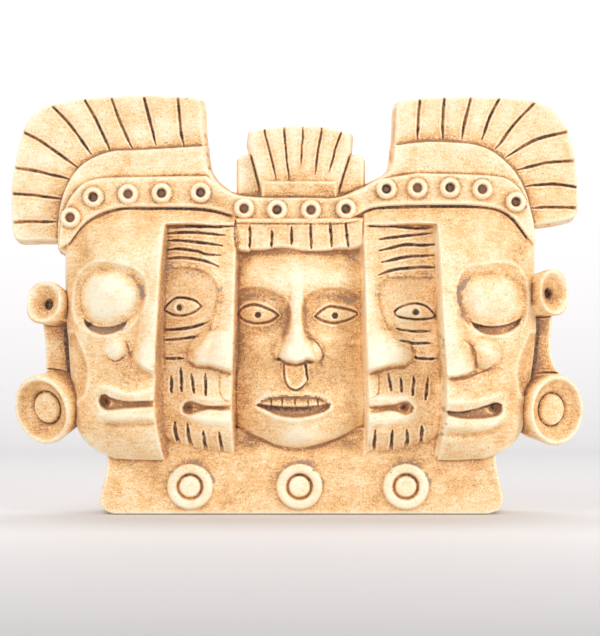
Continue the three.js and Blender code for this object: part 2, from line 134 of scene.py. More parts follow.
def trim(layer, shape, worn=1.4, draft=5.0, wall=0.0):
    """Cuts a layer to an outline, with a worn front edge and a leaning wall that holds some wash."""
    at = around(shape, WALL_REACH)
    depth = within(shape, at)
    round_off = worn - np.sqrt(np.clip(worn**2 - np.clip(worn - depth, 0, worn) ** 2, 0, None))
    fall = np.clip(-depth, 0, None) / np.tan(np.radians(draft))
    cut = np.full(x.shape, NOTHING)
    cut[at] = np.maximum(layer[HEIGHT][at] - round_off - fall, NOTHING)
    layer[HEIGHT] = cut
    layer[WASH_AND_SHADING][at] += wall * ease(-0.3, 0.4, -depth)
    return layer


def slab(shape, height, wash_and_shading, worn=1.4, draft=5.0, wall=0.0):
    return trim(sheet(height, wash_and_shading), shape, worn, draft, wall)


def lay(layer):
    """Joins a layer to the casting: what stands further forward shows."""
    over = layer[HEIGHT] > casting[HEIGHT]
    casting[:, over] = layer[:, over]


def incise(layer, points, width=1.3, depth=1.5, dark=0.95, tips=(0.5, 0.5), burr=0.2, halo=0.3):
    """A line drawn in the clay: uneven, with a thrown-up edge and dark wash left in it."""
    path = curve(points, 10)
    tremor = np.interp(np.linspace(0, 1, len(path)), np.linspace(0, 1, 7), hand.normal(0, 0.13, 7))
    run, climb = np.abs(path[-1] - path[0])
    path = path + tremor[:, None] * (1, 1 if run > climb else -1)
    at = around(path, width + 3)
    distance, along = nearest(path, at)
    knots = np.linspace(0, 1, 9)
    start, end = (
        tip + (1 - tip) * ease(0, 0.22, gone) for tip, gone in zip(tips, (along, 1 - along))
    )
    taper = np.minimum(start, end)
    half = 0.5 * width * taper * np.interp(along, knots, hand.normal(1, 0.11, knots.size))
    bed = np.clip(1 - (distance / half) ** 2, 0, 1) ** 0.7
    layer[HEIGHT][at] -= depth * bed * (0.45 + 0.55 * taper)
    thrown = np.clip(np.interp(along, knots, hand.normal(0.8, 0.5, knots.size)), 0, 2)
    layer[HEIGHT][at] += 1.5 * burr * thrown * np.exp(-(((distance - half - 0.4) / 0.4) ** 2))
    left = np.clip(np.interp(along, knots, hand.normal(0.84, 0.3, knots.size)), 0.2, 1.05)
    kept = dark * left * (1 - ease(0.5, 1.2, distance / half))
    layer[INK_AND_SHADOW][at] = np.maximum(layer[INK_AND_SHADOW][at], kept)
    layer[WASH_AND_SHADING][at] += halo * np.exp(-((distance / (half + 1.0)) ** 2))


def crease(layer, points, **how):
    """A line pressed in softly, with no thrown-up edge."""
    incise(layer, points, burr=0, **how)


def mound(layer, cx, cz, rx, rz, rise, power=2.0):
    """A swelling, or a hollow where rise is below 0. A power under 1 gives it a crisp rim."""
    at = around(np.array([[cx - rx, cz - rz], [cx + rx, cz + rz]]), 1)
    r2 = ((x[at] - cx) / rx) ** 2 + ((z[at] - cz) / rz) ** 2
    layer[HEIGHT][at] += rise * np.clip(1 - r2, 0, 1) ** power


def ridge(layer, points, rise, width, wash_and_shading=0.0):
    """A soft raised line, or a groove where rise is below 0."""
    path = curve(points)
    at = around(path, 3 * width)
    distance, along = nearest(path, at)
    bulge = np.exp(-((distance / width) ** 2))
    bulge = bulge * ease(-0.06, 0.14, along) * ease(-0.06, 0.14, 1 - along)
    layer[HEIGHT][at] += rise * bulge
    layer[WASH_AND_SHADING][at] += wash_and_shading * bulge


def hollow(layer, shape, depth, soft, wash_and_shading=0.0, rim=0.0, fade=(-9, -8)):
    """Lowers what is inside an outline, with a crisp rim. It runs out downwards over fade."""
    at = around(shape, 4)
    inward = within(shape, at)
    kept = ease(*fade, z[at])
    bed = 1 - (1 - np.clip(inward / soft, 0, 1)) ** 2
    layer[HEIGHT][at] += kept * (rim * np.exp(-(((inward + 0.5) / 0.9) ** 2)) - depth * bed)
    layer[WASH_AND_SHADING][at] += kept * wash_and_shading * ease(-0.4, 1.6, inward)


def swell(layer, shape, rise, soft):
    """Raises what is inside an outline into a cushion with round edges."""
    at = around(shape, 2)
    t = np.clip(within(shape, at) / soft, 0, 1)
    layer[HEIGHT][at] += rise * np.sqrt(1 - (1 - t) ** 2)


def smear(layer, cx, cz, rx, rz, amount, channel=WASH_AND_SHADING):
    """A soft spot in one channel: wash and residue left by the brush, dark line colour, and at some
    places painted shade and painted light. An amount below 0 lightens.
    """
    at = around(np.array([[cx - 2.2 * rx, cz - 2.2 * rz], [cx + 2.2 * rx, cz + 2.2 * rz]]), 0)
    r2 = ((x[at] - cx) / rx) ** 2 + ((z[at] - cz) / rz) ** 2
    layer[channel][at] += amount * np.exp(-r2)


def dabs(layer, points, count, size=1.1, amount=0.6):
    """Small grey-violet spots of residue, scattered along a path."""
    path = curve(points)
    for place in path[hand.integers(0, len(path), count)] + hand.normal(0, 0.6, (count, 2)):
        rx, rz = size * hand.uniform((0.7, 0.5), (1.6, 1.1))
        smear(layer, *place, rx, rz, amount * hand.uniform(0.6, 1.3), STAIN)


def turned(layer, cx, cz, profile):
    """A form turned about an axis towards the viewer, from [radius, height] pairs."""
    reach = profile[-1][0]
    at = around(np.array([[cx - reach, cz - reach], [cx + reach, cz + reach]]), 1)
    radius = np.hypot(x[at] - cx, z[at] - cz)
    radii, heights = curve(profile).T
    shape = np.interp(radius, radii, heights)
    layer[HEIGHT][at] = np.where(radius < reach, np.maximum(shape, 0), layer[HEIGHT][at])
    return at, radius


# The foot plate and the ground behind the heads
# A flared plate that the whole stands on, poured in one with the rest. Its three ring discs were
# turned in the clay and pressed on. Behind the heads lies a plain ground that joins everything.
FOOT_PROUD, CORE_PROUD = 30.0, 22.0
core = outline(
    [(-125, 146), (-125.2, 120), (-123.5, 90), (-121, 60), (-115, 42), (-100, 31)],
    (100, 31),
    [(115, 42), (122, 60), (125.8, 95), (125.2, 120), (124.5, 150)],
    (100, 170),
    (-100, 170),
)
lay(slab(core, CORE_PROUD, 0.55, worn=2))
foot = outline(
    [(-103.5, 1.8), (-106.5, 6), (-105.2, 14), (-103, 24), (-102, 46)],
    (103, 46),
    [(104.5, 26), (106.5, 16), (108.2, 7), (105.5, 1.8)],
    (100, 0),
    (-99.5, 0),
)
under_jaw = ease(29, 42, z) * (1 - ease(33, 40, np.abs(x + 1.6)))
plate = slab(foot, FOOT_PROUD - 4.5 * under_jaw, 0.53, worn=1.5, draft=2.0)
# A disc from its middle out, in radius and height, with a drawn ring and a rim
DISC_UP, DRAWN_RING, DISC_RIM = 15, 6.3, 12.3
DISC = [
    (0, 32.4), (3, 32.3), (4.8, 32.1), (5.5, 31.2), (DRAWN_RING, 30.5), (7.1, 31.2), (7.7, 32.5),
    (9.2, 32.9), (10.9, 32.7), (11.8, 31.9), (DISC_RIM, 30.0),
]
for disc_x in (-58.3, -0.3, 56.1):
    at, radius = turned(plate, disc_x, DISC_UP, DISC)
    turn = np.arctan2(z[at] - DISC_UP, x[at] - disc_x)
    kept = 0.5 + 0.35 * np.cos(turn - 1.0) + 0.12 * np.sin(5 * turn + disc_x)
    kept = kept * np.exp(-(((radius - DRAWN_RING) / 0.7) ** 2))
    plate[INK_AND_SHADOW][at] = np.maximum(plate[INK_AND_SHADOW][at], kept)
    plate[WASH_AND_SHADING][at] -= 0.3 * (1 - ease(11.4, DISC_RIM, radius))
    plate[WASH_AND_SHADING][at] += 0.75 * np.exp(-(((radius - DRAWN_RING) / 0.95) ** 2))
    # Dark residue caught against the rim, above and to the right
    caught = ease(-0.15, 0.75, np.cos(turn - 0.95)) * (0.7 + 0.3 * np.sin(7 * turn + disc_x))
    caught = caught * np.exp(-(((radius - 12.7) / 0.65) ** 2))
    plate[STAIN][at] += 0.75 * caught
    plate[INK_AND_SHADOW][at] = np.maximum(plate[INK_AND_SHADOW][at], 0.42 * caught)
    smear(plate, disc_x + 2, 27.5, 9, 2.6, 0.25)
    dabs(plate, [(disc_x - 12, 20), (disc_x, 28.4), (disc_x + 13, 18)], 8)
lay(plate)

# The two side crests
# A fan of broad feathers at each side, cut from a flat sheet of clay and poured in one with the
# rest. The gaps between the feathers are drawn in with a point.
FEATHERS_PROUD = 20.0
left_crest = outline(
    (-127, 146),
    [(-140, 146.0), (-150.3, 145.9), (-153.6, 149.4), (-154.3, 158), (-154.5, 174), (-152.1, 190),
     (-147.6, 206.8), (-143.2, 213.4), (-138, 216.9), (-132.6, 218.6), (-118, 221.7), (-86, 223.5),
     (-58, 222.6)],
    (-53.4, 221),
    (-52.5, 216.5),
    (-52.0, 204),
    (-50.4, 190),
    (-49.4, 184),
    (-46, 177),
    (-45.5, 150),
)
RIGHT_CREST_END = [(48.6, 183.4), (49.9, 188), (50.7, 197), (51.3, 206), (51.5, 214.6), (52.1, 218)]
right_crest = outline(
    (44, 150),
    (46, 179),
    [*RIGHT_CREST_END, (54.5, 220.7), (64, 222), (88, 223), (110, 222.2), (122.3, 221.2),
     (131.8, 218.2), (138.2, 213.8), (144.4, 203), (147.9, 185), (149, 166), (148.2, 160.5),
     (145.5, 157.6), (136, 155.4)],
    (125, 154),
)
FEATHER_ROOTS = (
    [(-129.5, 142), (-127.5, 166), (-118.5, 184), (-103, 192.6), (-84, 194), (-51, 196)],
    [(50.6, 196.3), (70, 198.2), (96, 196), (112, 185.5), (121, 170), (124.8, 150), (124.8, 140)],
)
LEFT_FEATHERS = [
    [(-62.1, 196.3), (-64.2, 207.6), (-65.3, 222)],
    [(-77, 196.9), (-80.2, 209.2), (-83.5, 222.5)],
    [(-89.9, 195.3), (-96.3, 209.2), (-101.1, 222)],
    [(-101.6, 193.7), (-109.1, 210.2), (-115.6, 221.5)],
    [(-111.8, 192), (-123, 207.6), (-132.7, 217.7)],
    [(-118.8, 184.6), (-134.8, 196.3), (-148.2, 203.8)],
    [(-123.6, 178.7), (-139.1, 182.4), (-152.5, 184.6)],
    [(-127.3, 168), (-141.8, 170.1), (-153.5, 170.7)],
    [(-130.5, 155.7), (-141.8, 156), (-153.5, 155.5)],
]
RIGHT_FEATHERS = [
    [(62.9, 200.1), (63.4, 210.2), (64.2, 221)],
    [(76.5, 200.1), (76.5, 211.3), (77.6, 222)],
    [(86.7, 200.1), (88.8, 211.3), (91.5, 222)],
    [(97.4, 199.5), (101.6, 211.8), (107, 222)],
    [(104.9, 194.7), (115, 208.1), (125.7, 219.9)],
    [(110.2, 190.4), (125.7, 199.5), (142.3, 203.8)],
    [(116.1, 183.5), (131.1, 187.2), (145.5, 188.3)],
    [(120.9, 174.9), (135.3, 176), (147.1, 174.4)],
    [(123.6, 163.2), (134.8, 163.7), (147.7, 163.2)],
]
CRESTS = ((left_crest, LEFT_FEATHERS, 0.29), (right_crest, RIGHT_FEATHERS, 0.33))
for (shape, gaps, crest_wash), roots in zip(CRESTS, FEATHER_ROOTS):
    crest = slab(shape, FEATHERS_PROUD, crest_wash, worn=1.0, wall=0.5)
    roots = curve(roots)
    at = around(roots, 16)
    distance, _ = nearest(roots, at)
    crest[WASH_AND_SHADING][at] += 0.32 * np.exp(-((distance / 6) ** 2))
    for gap in gaps:
        # Each gap runs out over the crest's edge
        (ax, az), (bx, bz) = gap[-2:]
        stretch = 1 + 1.5 / math.hypot(bx - ax, bz - az)
        gap = [*gap[:-1], (ax + (bx - ax) * stretch, az + (bz - az) * stretch)]
        ridge(crest, gap, -0.6, 3.0, wash_and_shading=0.05)
        incise(crest, gap, width=1.85, depth=1.9, dark=0.82, tips=(0.4, 1.0), halo=0.34)
    lay(crest)

# The middle crest
# A small fan of feathers between two steps, with a plain bar across its foot. Each is a flat layer
# of clay laid on the one behind and poured in one with the rest.
STEPS_PROUD, FAN_PROUD, BAR_PROUD = 19.0, 23.0, 26.0
steps = outline((-33, 165), (-33, 189.5), (-31, 191.4), (32.6, 191.4), (34, 189), (34, 165))
lay(slab(steps, STEPS_PROUD, 0.3, worn=1.6))
fan_outline = outline(
    (-19.5, 168),
    (-25.6, 190.8),
    (-27.2, 198),
    [(-26.5, 204.2), (-14, 206.4), (0, 206.9), (14, 206.3), (27.0, 203)],
    (26.4, 192),
    (19, 168),
)
fan = slab(fan_outline, FAN_PROUD, 0.28, worn=1.3)
FAN_GAPS = [
    [(-12.8, 178.6), (-16.5, 193.9), (-19.2, 205)],
    [(-5.9, 178), (-7.5, 193.9), (-8.5, 206)],
    [(0.5, 186), (1.1, 196), (1.6, 206)],
    [(8, 180.6), (9.1, 189.7), (11.7, 205.6)],
    [(15.5, 182.2), (18.7, 193.9), (22.4, 204.8)],
]
for gap in FAN_GAPS:
    ridge(fan, gap, -0.4, 2.2, wash_and_shading=0.12)
    incise(fan, gap, width=1.35, depth=1.5, dark=0.75, tips=(0.35, 0.9), halo=0.4)
smear(fan, 0, 179, 17, 3.5, 0.2)
lay(fan)
for fan_side in ([(-26, 191), (-20.2, 168.6)], [(26.8, 192.5), (19.2, 168.6)]):
    incise(casting, fan_side, width=1.5, depth=2.2, dark=0.7, tips=(0.7, 0.9), burr=0.1, halo=0.45)
bar = outline((-20.2, 168), (-20.2, 177), (19.4, 177), (19.4, 168))
lay(slab(bar, BAR_PROUD, 0.6, worn=0.9, draft=12))

# The cap and the headband with its ring beads
# The cap is the plain field in front of the feathers. The headband is a strip of clay laid on it,
# with fourteen small pierced rings pressed on.
CAP_PROUD, BAND_PROUD, BEAD_PROUD = 23.5, 28.0, 31.0
cap_top_left, cap_top_right = FEATHER_ROOTS
cap_outline = outline(
    cap_top_left,
    (-51.6, 192),
    [(-50, 184.5), (-46, 178), (-40, 172.8), (-34.7, 170.4), (-28, 169.5)],
    (26, 170),
    [(36, 175.2), (43, 178.8), (46, 180.6), *RIGHT_CREST_END[:2]],
    cap_top_right,
    (116, 130),
    (-116, 130),
)
for cap_top in (cap_top_left[2:], cap_top_right[:-2]):
    incise(casting, cap_top, width=0.9, depth=0.5, dark=0.42, tips=(0.8, 0.5), burr=0.05, halo=0.55)
cap = slab(cap_outline, CAP_PROUD, 0.31, worn=0.7, wall=0.35)
band_top_left = [(-128.5, 141), (-126.5, 158), (-120, 171), (-109, 178), (-80, 179.3), (-50, 179.6)]
band_top_middle = [
    (-40, 172.2), (-33, 169.4), (-20, 168.2), (0, 168.2), (19, 168.2), (31, 172.4), (43, 178),
]
band_top_right = [(62, 181.2), (100, 180), (113, 176.5), (121.5, 165), (125, 150), (124.5, 143)]
band_foot_right = [(120.5, 148), (112, 158.5), (100, 163.4), (75, 164.5), (42, 163.5), (32, 160)]
band_foot_middle = [(24, 155.2), (0, 154.6), (-27, 155)]
band_foot_left = [
    (-37, 159.5), (-52, 162.8), (-79, 163.3), (-98, 162.6), (-113, 156), (-122.5, 144.5),
]
headband = outline(
    band_top_left, band_top_middle, band_top_right,
    band_foot_right, band_foot_middle, band_foot_left,
)
band_top = curve([*band_top_left[1:], *band_top_middle, *band_top_right[:-1]])
crease(cap, band_top + (0, 0.4), width=0.8, depth=0.5, dark=0.75, tips=(0.6, 0.6), halo=0.25)
lay(cap)
over_middle = [
    (-38, 172.6), (-30, 170), (-21, 169.2), (-6, 168.9), (8, 168.8), (19, 168.9), (28, 172.6),
    (34, 176),
]
crease(casting, over_middle, width=0.9, depth=0.4, dark=0.6, halo=0.35)
band = slab(headband, BAND_PROUD, 0.38, worn=1.0)
# Painted shade where the band dips down beside the middle, heavier at the left
smear(band, -43, 165, 8, 5, 0.34)
smear(band, 41, 167, 7, 5, 0.16)
for foot_line in (band_foot_left, band_foot_middle, band_foot_right):
    ridge(band, np.array(foot_line) + (0, 1.2), 0.5, 1.0, wash_and_shading=-0.14)
BEADS = [
    (-122, 157.6), (-109.8, 168.5), (-91.3, 170.1), (-73.5, 170.6), (-52.8, 170.9), (-29.7, 162.4),
    (-12.2, 161.7), (5.8, 161.6), (24.4, 162.2), (45.9, 172.8), (62.3, 173.3), (79.6, 173.5),
    (96.8, 172.6), (114.6, 165.9),
]
# A bead from its hole out, and how dark the holes of five beads running are
BEAD = [
    (0, 27.0), (1.9, 27.1), (2.3, 28.2), (2.65, 30.0), (3.05, 30.8), (3.8, BEAD_PROUD), (4.6, 30.6),
    (5.1, 29.6), (5.5, BAND_PROUD),
]
HOLES = (0.35, 0.8, 0.4, 0.75, 0.85)
for number, (bead_x, bead_z) in enumerate(BEADS):
    at, radius = turned(band, bead_x, bead_z, BEAD)
    turn = np.arctan2(z[at] - bead_z, x[at] - bead_x)
    band[WASH_AND_SHADING][at] = np.where(radius < 5.3, 0.35, band[WASH_AND_SHADING][at])
    band[WASH_AND_SHADING][at] += 0.85 * (1 - ease(2.1, 3.1, radius))
    hole = HOLES[number % len(HOLES)] * ease(0.2, 1.2, radius) * (1 - ease(1.9, 2.7, radius))
    band[INK_AND_SHADOW][at] = np.maximum(band[INK_AND_SHADOW][at], hole)
    band[STAIN][at] += 0.7 * (1 - ease(0.9, 1.9, radius))
    drawn = ease(-0.3, 0.8, np.sin(turn * (1 + number % 2) + 2.1 * number))
    line = drawn * np.exp(-(((radius - 5.9) / 0.45) ** 2))
    band[INK_AND_SHADOW][at] = np.maximum(band[INK_AND_SHADOW][at], 0.5 * line)
    band[STAIN][at] += 0.4 * line
    band[WASH_AND_SHADING][at] += 0.22 * np.exp(-(((radius - 6.1) / 1.0) ** 2))
lay(band)

# The outer heads
# A sleeping face, modelled whole in clay and then cut open down its middle, so that half is left at
# each side of the gap, with a ledge over it. It is poured in one with the rest.
OUTER_CUT, LEDGE, JAW = 73.5, 154.0, 29.5
OUTER_EDGES = {
    -1: [(-71.4, LEDGE), (-72.9, 130), (-74.4, 100), (-76.1, 62), (-74.7, 46), (-71.7, 28)],
    1: [(72.4, LEDGE), (73.2, 130), (74.5, 98), (76.3, 77), (76.1, 51), (74.5, 41), (72.7, 28)],
}
OUTER_LIDS = {
    -1: outline([
        (-116.4, 112), (-115.4, 120.6), (-109.4, 128.2), (-100.5, 129.6), (-91.5, 127.6),
        (-85, 122.6), (-82.4, 116), (-84.4, 109), (-89, 103.6), (-96, 101), (-104, 100.4),
        (-112, 103.6), (-116.4, 112),
    ]),
    1: outline([
        (84, 113), (84.8, 120.5), (89.4, 126.2), (99, 127.6), (110.5, 126), (117.6, 120.8),
        (119.4, 112), (117, 105), (109, 101.8), (99, 100.8), (89.6, 102.8), (84, 113),
    ]),
}
OUTER_SOCKETS = {
    -1: outline([
        (-120.2, 110), (-119, 121), (-115.5, 128.7), (-109.4, 132.9), (-102, 134), (-93.4, 132.4),
        (-84.8, 129.2), (-80, 122), (-80.4, 112), (-86, 103), (-93, 96), (-102.3, 94.2), (-111, 96),
        (-117.5, 101.5), (-120.2, 110),
    ]),
    1: outline([
        (82, 114), (81.8, 121), (84.5, 128), (89.2, 131.4), (96, 132.4), (105.2, 133.6),
        (111.8, 132.9), (117, 128.8), (120.6, 120), (120.8, 110), (117.5, 99.5), (111, 95.2),
        (103, 94), (94.5, 95.2), (86.8, 101.5), (82, 114),
    ]),
}
OUTER_SLITS = {
    -1: outline(
        [(-114.4, 104.4), (-108, 100.6), (-102.3, 100), (-96.3, 100.8), (-90.2, 103)],
        [(-90.8, 100.4), (-95.4, 96.8), (-102.3, 95), (-109.4, 96.6), (-113.6, 100.6),
         (-114.4, 104.4)],
    ),
    1: outline(
        [(89, 102.6), (96.3, 100.7), (102.4, 100.5), (109.9, 101.6), (117.4, 104.6)],
        [(116, 100.4), (110.4, 96.6), (103, 94.9), (96.2, 95.7), (91.2, 98.6), (89, 102.6)],
    ),
}
OUTER_MOUTHS = {
    -1: outline(
        [(-105.8, 61), (-104.8, 63.9), (-102, 64.7), (-98.8, 63), (-91, 61.2), (-82, 61.4),
         (-68, 61.6)],
        [(-68, 57.6), (-82, 57.2), (-91, 56.6), (-100.2, 55.6), (-104.2, 57.4), (-105.8, 61)],
    ),
    1: outline(
        [(68, 56.6), (76, 56.4), (83.7, 55.9), (91.7, 57.4), (98.5, 59.2), (103.4, 60.2),
         (106, 58.9)],
        [(106, 58.9), (106.2, 55.4), (102.6, 52.4), (93, 51.3), (83.7, 51.5), (76.9, 53), (68, 54)],
    ),
}
# The nose's lower end: how far from the cut, and how high
NOSE_FEET = {
    -1: ([0, 2, 7.5, 11.2, 14.9], [74.2, 74.7, 76.5, 79, 83]),
    1: ([0, 8, 13, 18, 22], [73.0, 73.2, 74.2, 76.2, 80]),
}
# Creases beside the nose, each with how dark it is. At the right, the line along the nose's foot is
# partly painted shadow under the nose.
NOSE_CREASES = {
    -1: [
        ([(-90.8, 92), (-89.4, 88), (-88.5, 84.6)], 0.1),
        ([(-101.5, 84.6), (-96.6, 81.6), (-91, 84.6)], 0.05),
    ],
    1: [
        ([(85.5, 93), (89.5, 89.8), (91.6, 85.5), (91.9, 79)], 0.32),
        ([(79, 72.4), (86.2, 72.9), (91.7, 75), (97, 76.8), (101.8, 79.8)], 0.36),
    ],
}
# Dark corners of the slit under the lid, with how dark, and the lines around the lid
OUTER_CREASES = {
    -1: (
        [(-111.0, 101.0, 1.15), (-104, 97.2, 0.25), (-96, 98.6, 0.25)],
        [[(-113.6, 103.6), (-108, 99.9), (-101, 99.2), (-94, 100.4), (-90.4, 102.6)],
         [(-85.6, 124), (-83, 120.4), (-81.9, 115.2)]],
    ),
    1: (
        [(92.5, 100.4, 0.6), (104, 97.2, 0.2), (114.5, 102, 0.6)],
        [[(89.6, 102.4), (96, 100), (102.4, 99.6), (110, 101), (117, 104.2)],
         [(83, 121), (82.4, 114), (85.4, 106)]],
    ),
}
# What stands around the mouth: upper lip, lower lip, dark corner and the fold under it
OUTER_LIPS = {
    -1: (
        [(-108.6, 62), (-106, 67), (-102.4, 68.2), (-97.1, 66.6), (-90.9, 64.6), (-84.8, 64.8),
         (-77, 67)],
        [(-107.5, 58), (-103.5, 53.4), (-96, 52.6), (-85, 53), (-70, 53.2)],
        (-102.3, 60.2),
        [(-103.5, 49.6), (-93.5, 48.4), (-70, 49)],
    ),
    1: (
        [(70, 60.6), (76.9, 60.4), (83.7, 60.6), (89.8, 60.6), (97.8, 62.2), (107, 64.6)],
        [(70, 49.4), (84, 47.4), (97, 48), (106, 51.6), (109, 57)],
        (101.4, 57.6),
        [(70, 43.6), (86.7, 43), (99.1, 44.6), (107, 48.4)],
    ),
}
LID_SPOTS = {
    -1: [(-88, 127), (-83.5, 122), (-82.2, 116)],
    1: [(90, 126), (84, 121), (82.5, 114), (85, 106)],
}
for side in (-1, 1):
    away = side * x - OUTER_CUT
    across = np.clip(1 - (np.clip(away, 0, None) / 56) ** 2.6, 0, None)
    crown = (1 - 0.62 * ease(132, 164, z)) * (1 - 0.5 * (1 - ease(JAW - 3, JAW + 22, z)))
    form = CORE_PROUD + 26 * across * crown
    # It dips under the headband
    foot_line = curve(band_foot_left if side < 0 else band_foot_right)
    below = np.full(x.shape, 40.0)
    at = around(foot_line, 40)
    below[at], _ = nearest(foot_line, at)
    ordered = foot_line[np.argsort(foot_line[:, 0])]
    below = np.where(z > np.interp(x, *ordered.T), 0, below)
    form -= np.clip(form - 26.6, 0, None) * np.exp(-((below / 7) ** 1.5))
    head = sheet(form, (0.47, 0.5)[side > 0])
    wing_away, wing_z = ((22.8, 88.0), (24.2, 85.6))[side > 0]
    # Socket, lid and the slit under it
    hollow(head, OUTER_SOCKETS[side], 2.7, 6, wash_and_shading=-0.02, rim=0.4, fade=(92, 104))
    at = around(OUTER_LIDS[side], 3)
    on_lid = within(OUTER_LIDS[side], at)
    t = np.clip(on_lid / 14, 0, 1)
    head[HEIGHT][at] += 5.4 * (1 - (1 - t) ** 2.2) ** 1.2
    head[WASH_AND_SHADING][at] -= (0.36 if side < 0 else 0.14) * ease(0, 7, on_lid)
    head[WASH_AND_SHADING][at] += 0.1 * np.exp(-((on_lid / 0.9) ** 2))
    hollow(head, OUTER_SLITS[side], (3.2, 4.0)[side > 0], 1.8, wash_and_shading=(0.34, 0.22)[side > 0])
    ends, lines = OUTER_CREASES[side]
    for end_x, end_z, dark in ends:
        smear(head, end_x, end_z, 3.2, 1.7, dark, INK_AND_SHADOW)
    # The lines are darker at the right lid, where the one down the lid's left edge is partly painted
    # shade
    for line in lines:
        crease(head, line, width=1.3, depth=0.3, dark=(0.12, 0.6)[side > 0], halo=0.25)
    # Half a nose along the sawn edge, and its rounded wing
    t = np.clip((128 - z) / 48, 0, 1)
    half = 7.5 + (8.5, 11.5)[side > 0] * t**1.5
    brim = np.interp(away, *NOSE_FEET[side])
    rise = (2.5 + 10 * t**1.2) * np.clip(1 - (np.clip(away, 0, None) / half) ** 2.4, 0, 1) ** 1.1
    rise *= ease((-2.6, -0.8)[side > 0], (5.0, 2.6)[side > 0], z - brim) * (1 - ease(120, 140, z))
    head[HEIGHT] += rise
    head[WASH_AND_SHADING] -= np.clip(0.055 * (rise - 4.5), 0, 0.36)
    wing_x = side * (OUTER_CUT + wing_away)
    mound(head, wing_x, wing_z, 8.2, 8.8, (3.8, 6.0)[side > 0], (1.7, 1.05)[side > 0])
    smear(head, wing_x, wing_z + 1, 4.5, 4.5, -0.26)
    dabs(head, LID_SPOTS[side], (12, 17)[side > 0], size=1.3)
    if side < 0:
        dabs(head, [(-110, 100), (-104, 97.6), (-97, 97.8), (-92, 100)], 16, size=1.3, amount=0.5)
    else:
        # A groove with wash round the right lid's left edge, partly painted shade on the socket wall
        # there
        around_lid = [(87, 129), (83.4, 121), (83, 112), (86, 104), (91, 99.6)]
        ridge(head, around_lid, -0.5, 1.7, wash_and_shading=0.3)
        smear(head, 95.5, 99.4, 5, 1.5, 0.5, INK_AND_SHADOW)
    for line, dark in NOSE_CREASES[side]:
        crease(head, line, width=1.2, depth=0.9, dark=dark, tips=(0.3, 0.3), halo=0.35)
    # Lips and mouth
    upper_lip, lower_lip, hole, fold = OUTER_LIPS[side]
    mound(head, side * (OUTER_CUT + 10), 58, 30, 15, 2.2)
    ridge(head, upper_lip, 1.9, 2.3, wash_and_shading=-0.12)
    ridge(head, lower_lip, 1.9, 2.8, wash_and_shading=-0.12)
    ridge(head, fold, -0.7, 1.6, wash_and_shading=0.12)
    hollow(head, OUTER_MOUTHS[side], 4.0, 1.5, wash_and_shading=0.42)
    roof = OUTER_MOUTHS[side][slice(16, 56) if side < 0 else slice(0, 48)] - (0, 0.8)
    crease(head, roof, width=(1.5, 1.9)[side > 0], depth=0.2, dark=(0.55, 0.9)[side > 0], halo=0.1)
    mound(head, *hole, 3.4, 3.4, -3.0, 1)
    smear(head, *hole, 2.2, 2.4, 0.75, INK_AND_SHADOW)
    mound(head, side * (OUTER_CUT + 8), 37.5, 26, 12, 2.4)
    smear(head, side * (OUTER_CUT + 18), 75, 14, 7, 0.16)
    # Hollows of the cheek and the temple
    cheek_x = (120, 123)[side > 0]
    cheek = beside(
        side, cheek_x, (-1, 97), (-6.6, 85), (-8.6, 77.5), (-8.2, 70.2), (-5, 62), (8, 58), (9, 97)
    )
    hollow(head, outline(cheek), 2.6, 5, wash_and_shading=0.14, rim=0.25)
    mound(head, side * (OUTER_CUT + 41), 137, 9, 11, -1.7)
    smear(head, side * (OUTER_CUT + 41), 137, 6, 7, 0.18)
    # The dark line under the headband
    under_band = foot_line - (0, 0.8)
    crease(head, under_band, width=1.9, depth=1.0, dark=0.95, tips=(0.7, 0.3), halo=0.35)
    # Edges: crisp and sawn towards the middle, round at the jaw and the temples
    sawn = outline(
        OUTER_EDGES[side],
        (side * (OUTER_CUT - 1.8), 10),
        *beside(side, 0, (160, 10), (160, 190), (34, 190), (34, LEDGE - 0.3)),
        [*beside(side, 0, (45, LEDGE - 0.6), (58, LEDGE + 0.3)), OUTER_EDGES[side][0]],
    )
    temple = (123.8, 126)[side > 0]
    rounded = outline(
        beside(
            side, 0, (125.3, 147), (125.2, 120), (temple, 92), (121, 60), (117.5, 44),
            (109.5, 34.5), (98, JAW),
        ),
        *beside(side, 0, (20, JAW - 1.6), (20, 160), (36, 163), (52, 174), (112, 174), (124, 158)),
    )
    lean = np.interp(z, [60, 95], [(11.0, 6.0)[side > 0], 5.0])
    trim(head, rounded, worn=4.5)
    trim(head, sawn, worn=0.7, draft=lean[around(sawn, WALL_REACH)], wall=0.1)
    if side > 0:
        dabs(head, np.array(OUTER_EDGES[1][1:-1]) - (0.9, 0), 26, size=0.8, amount=0.8)
    lay(head)

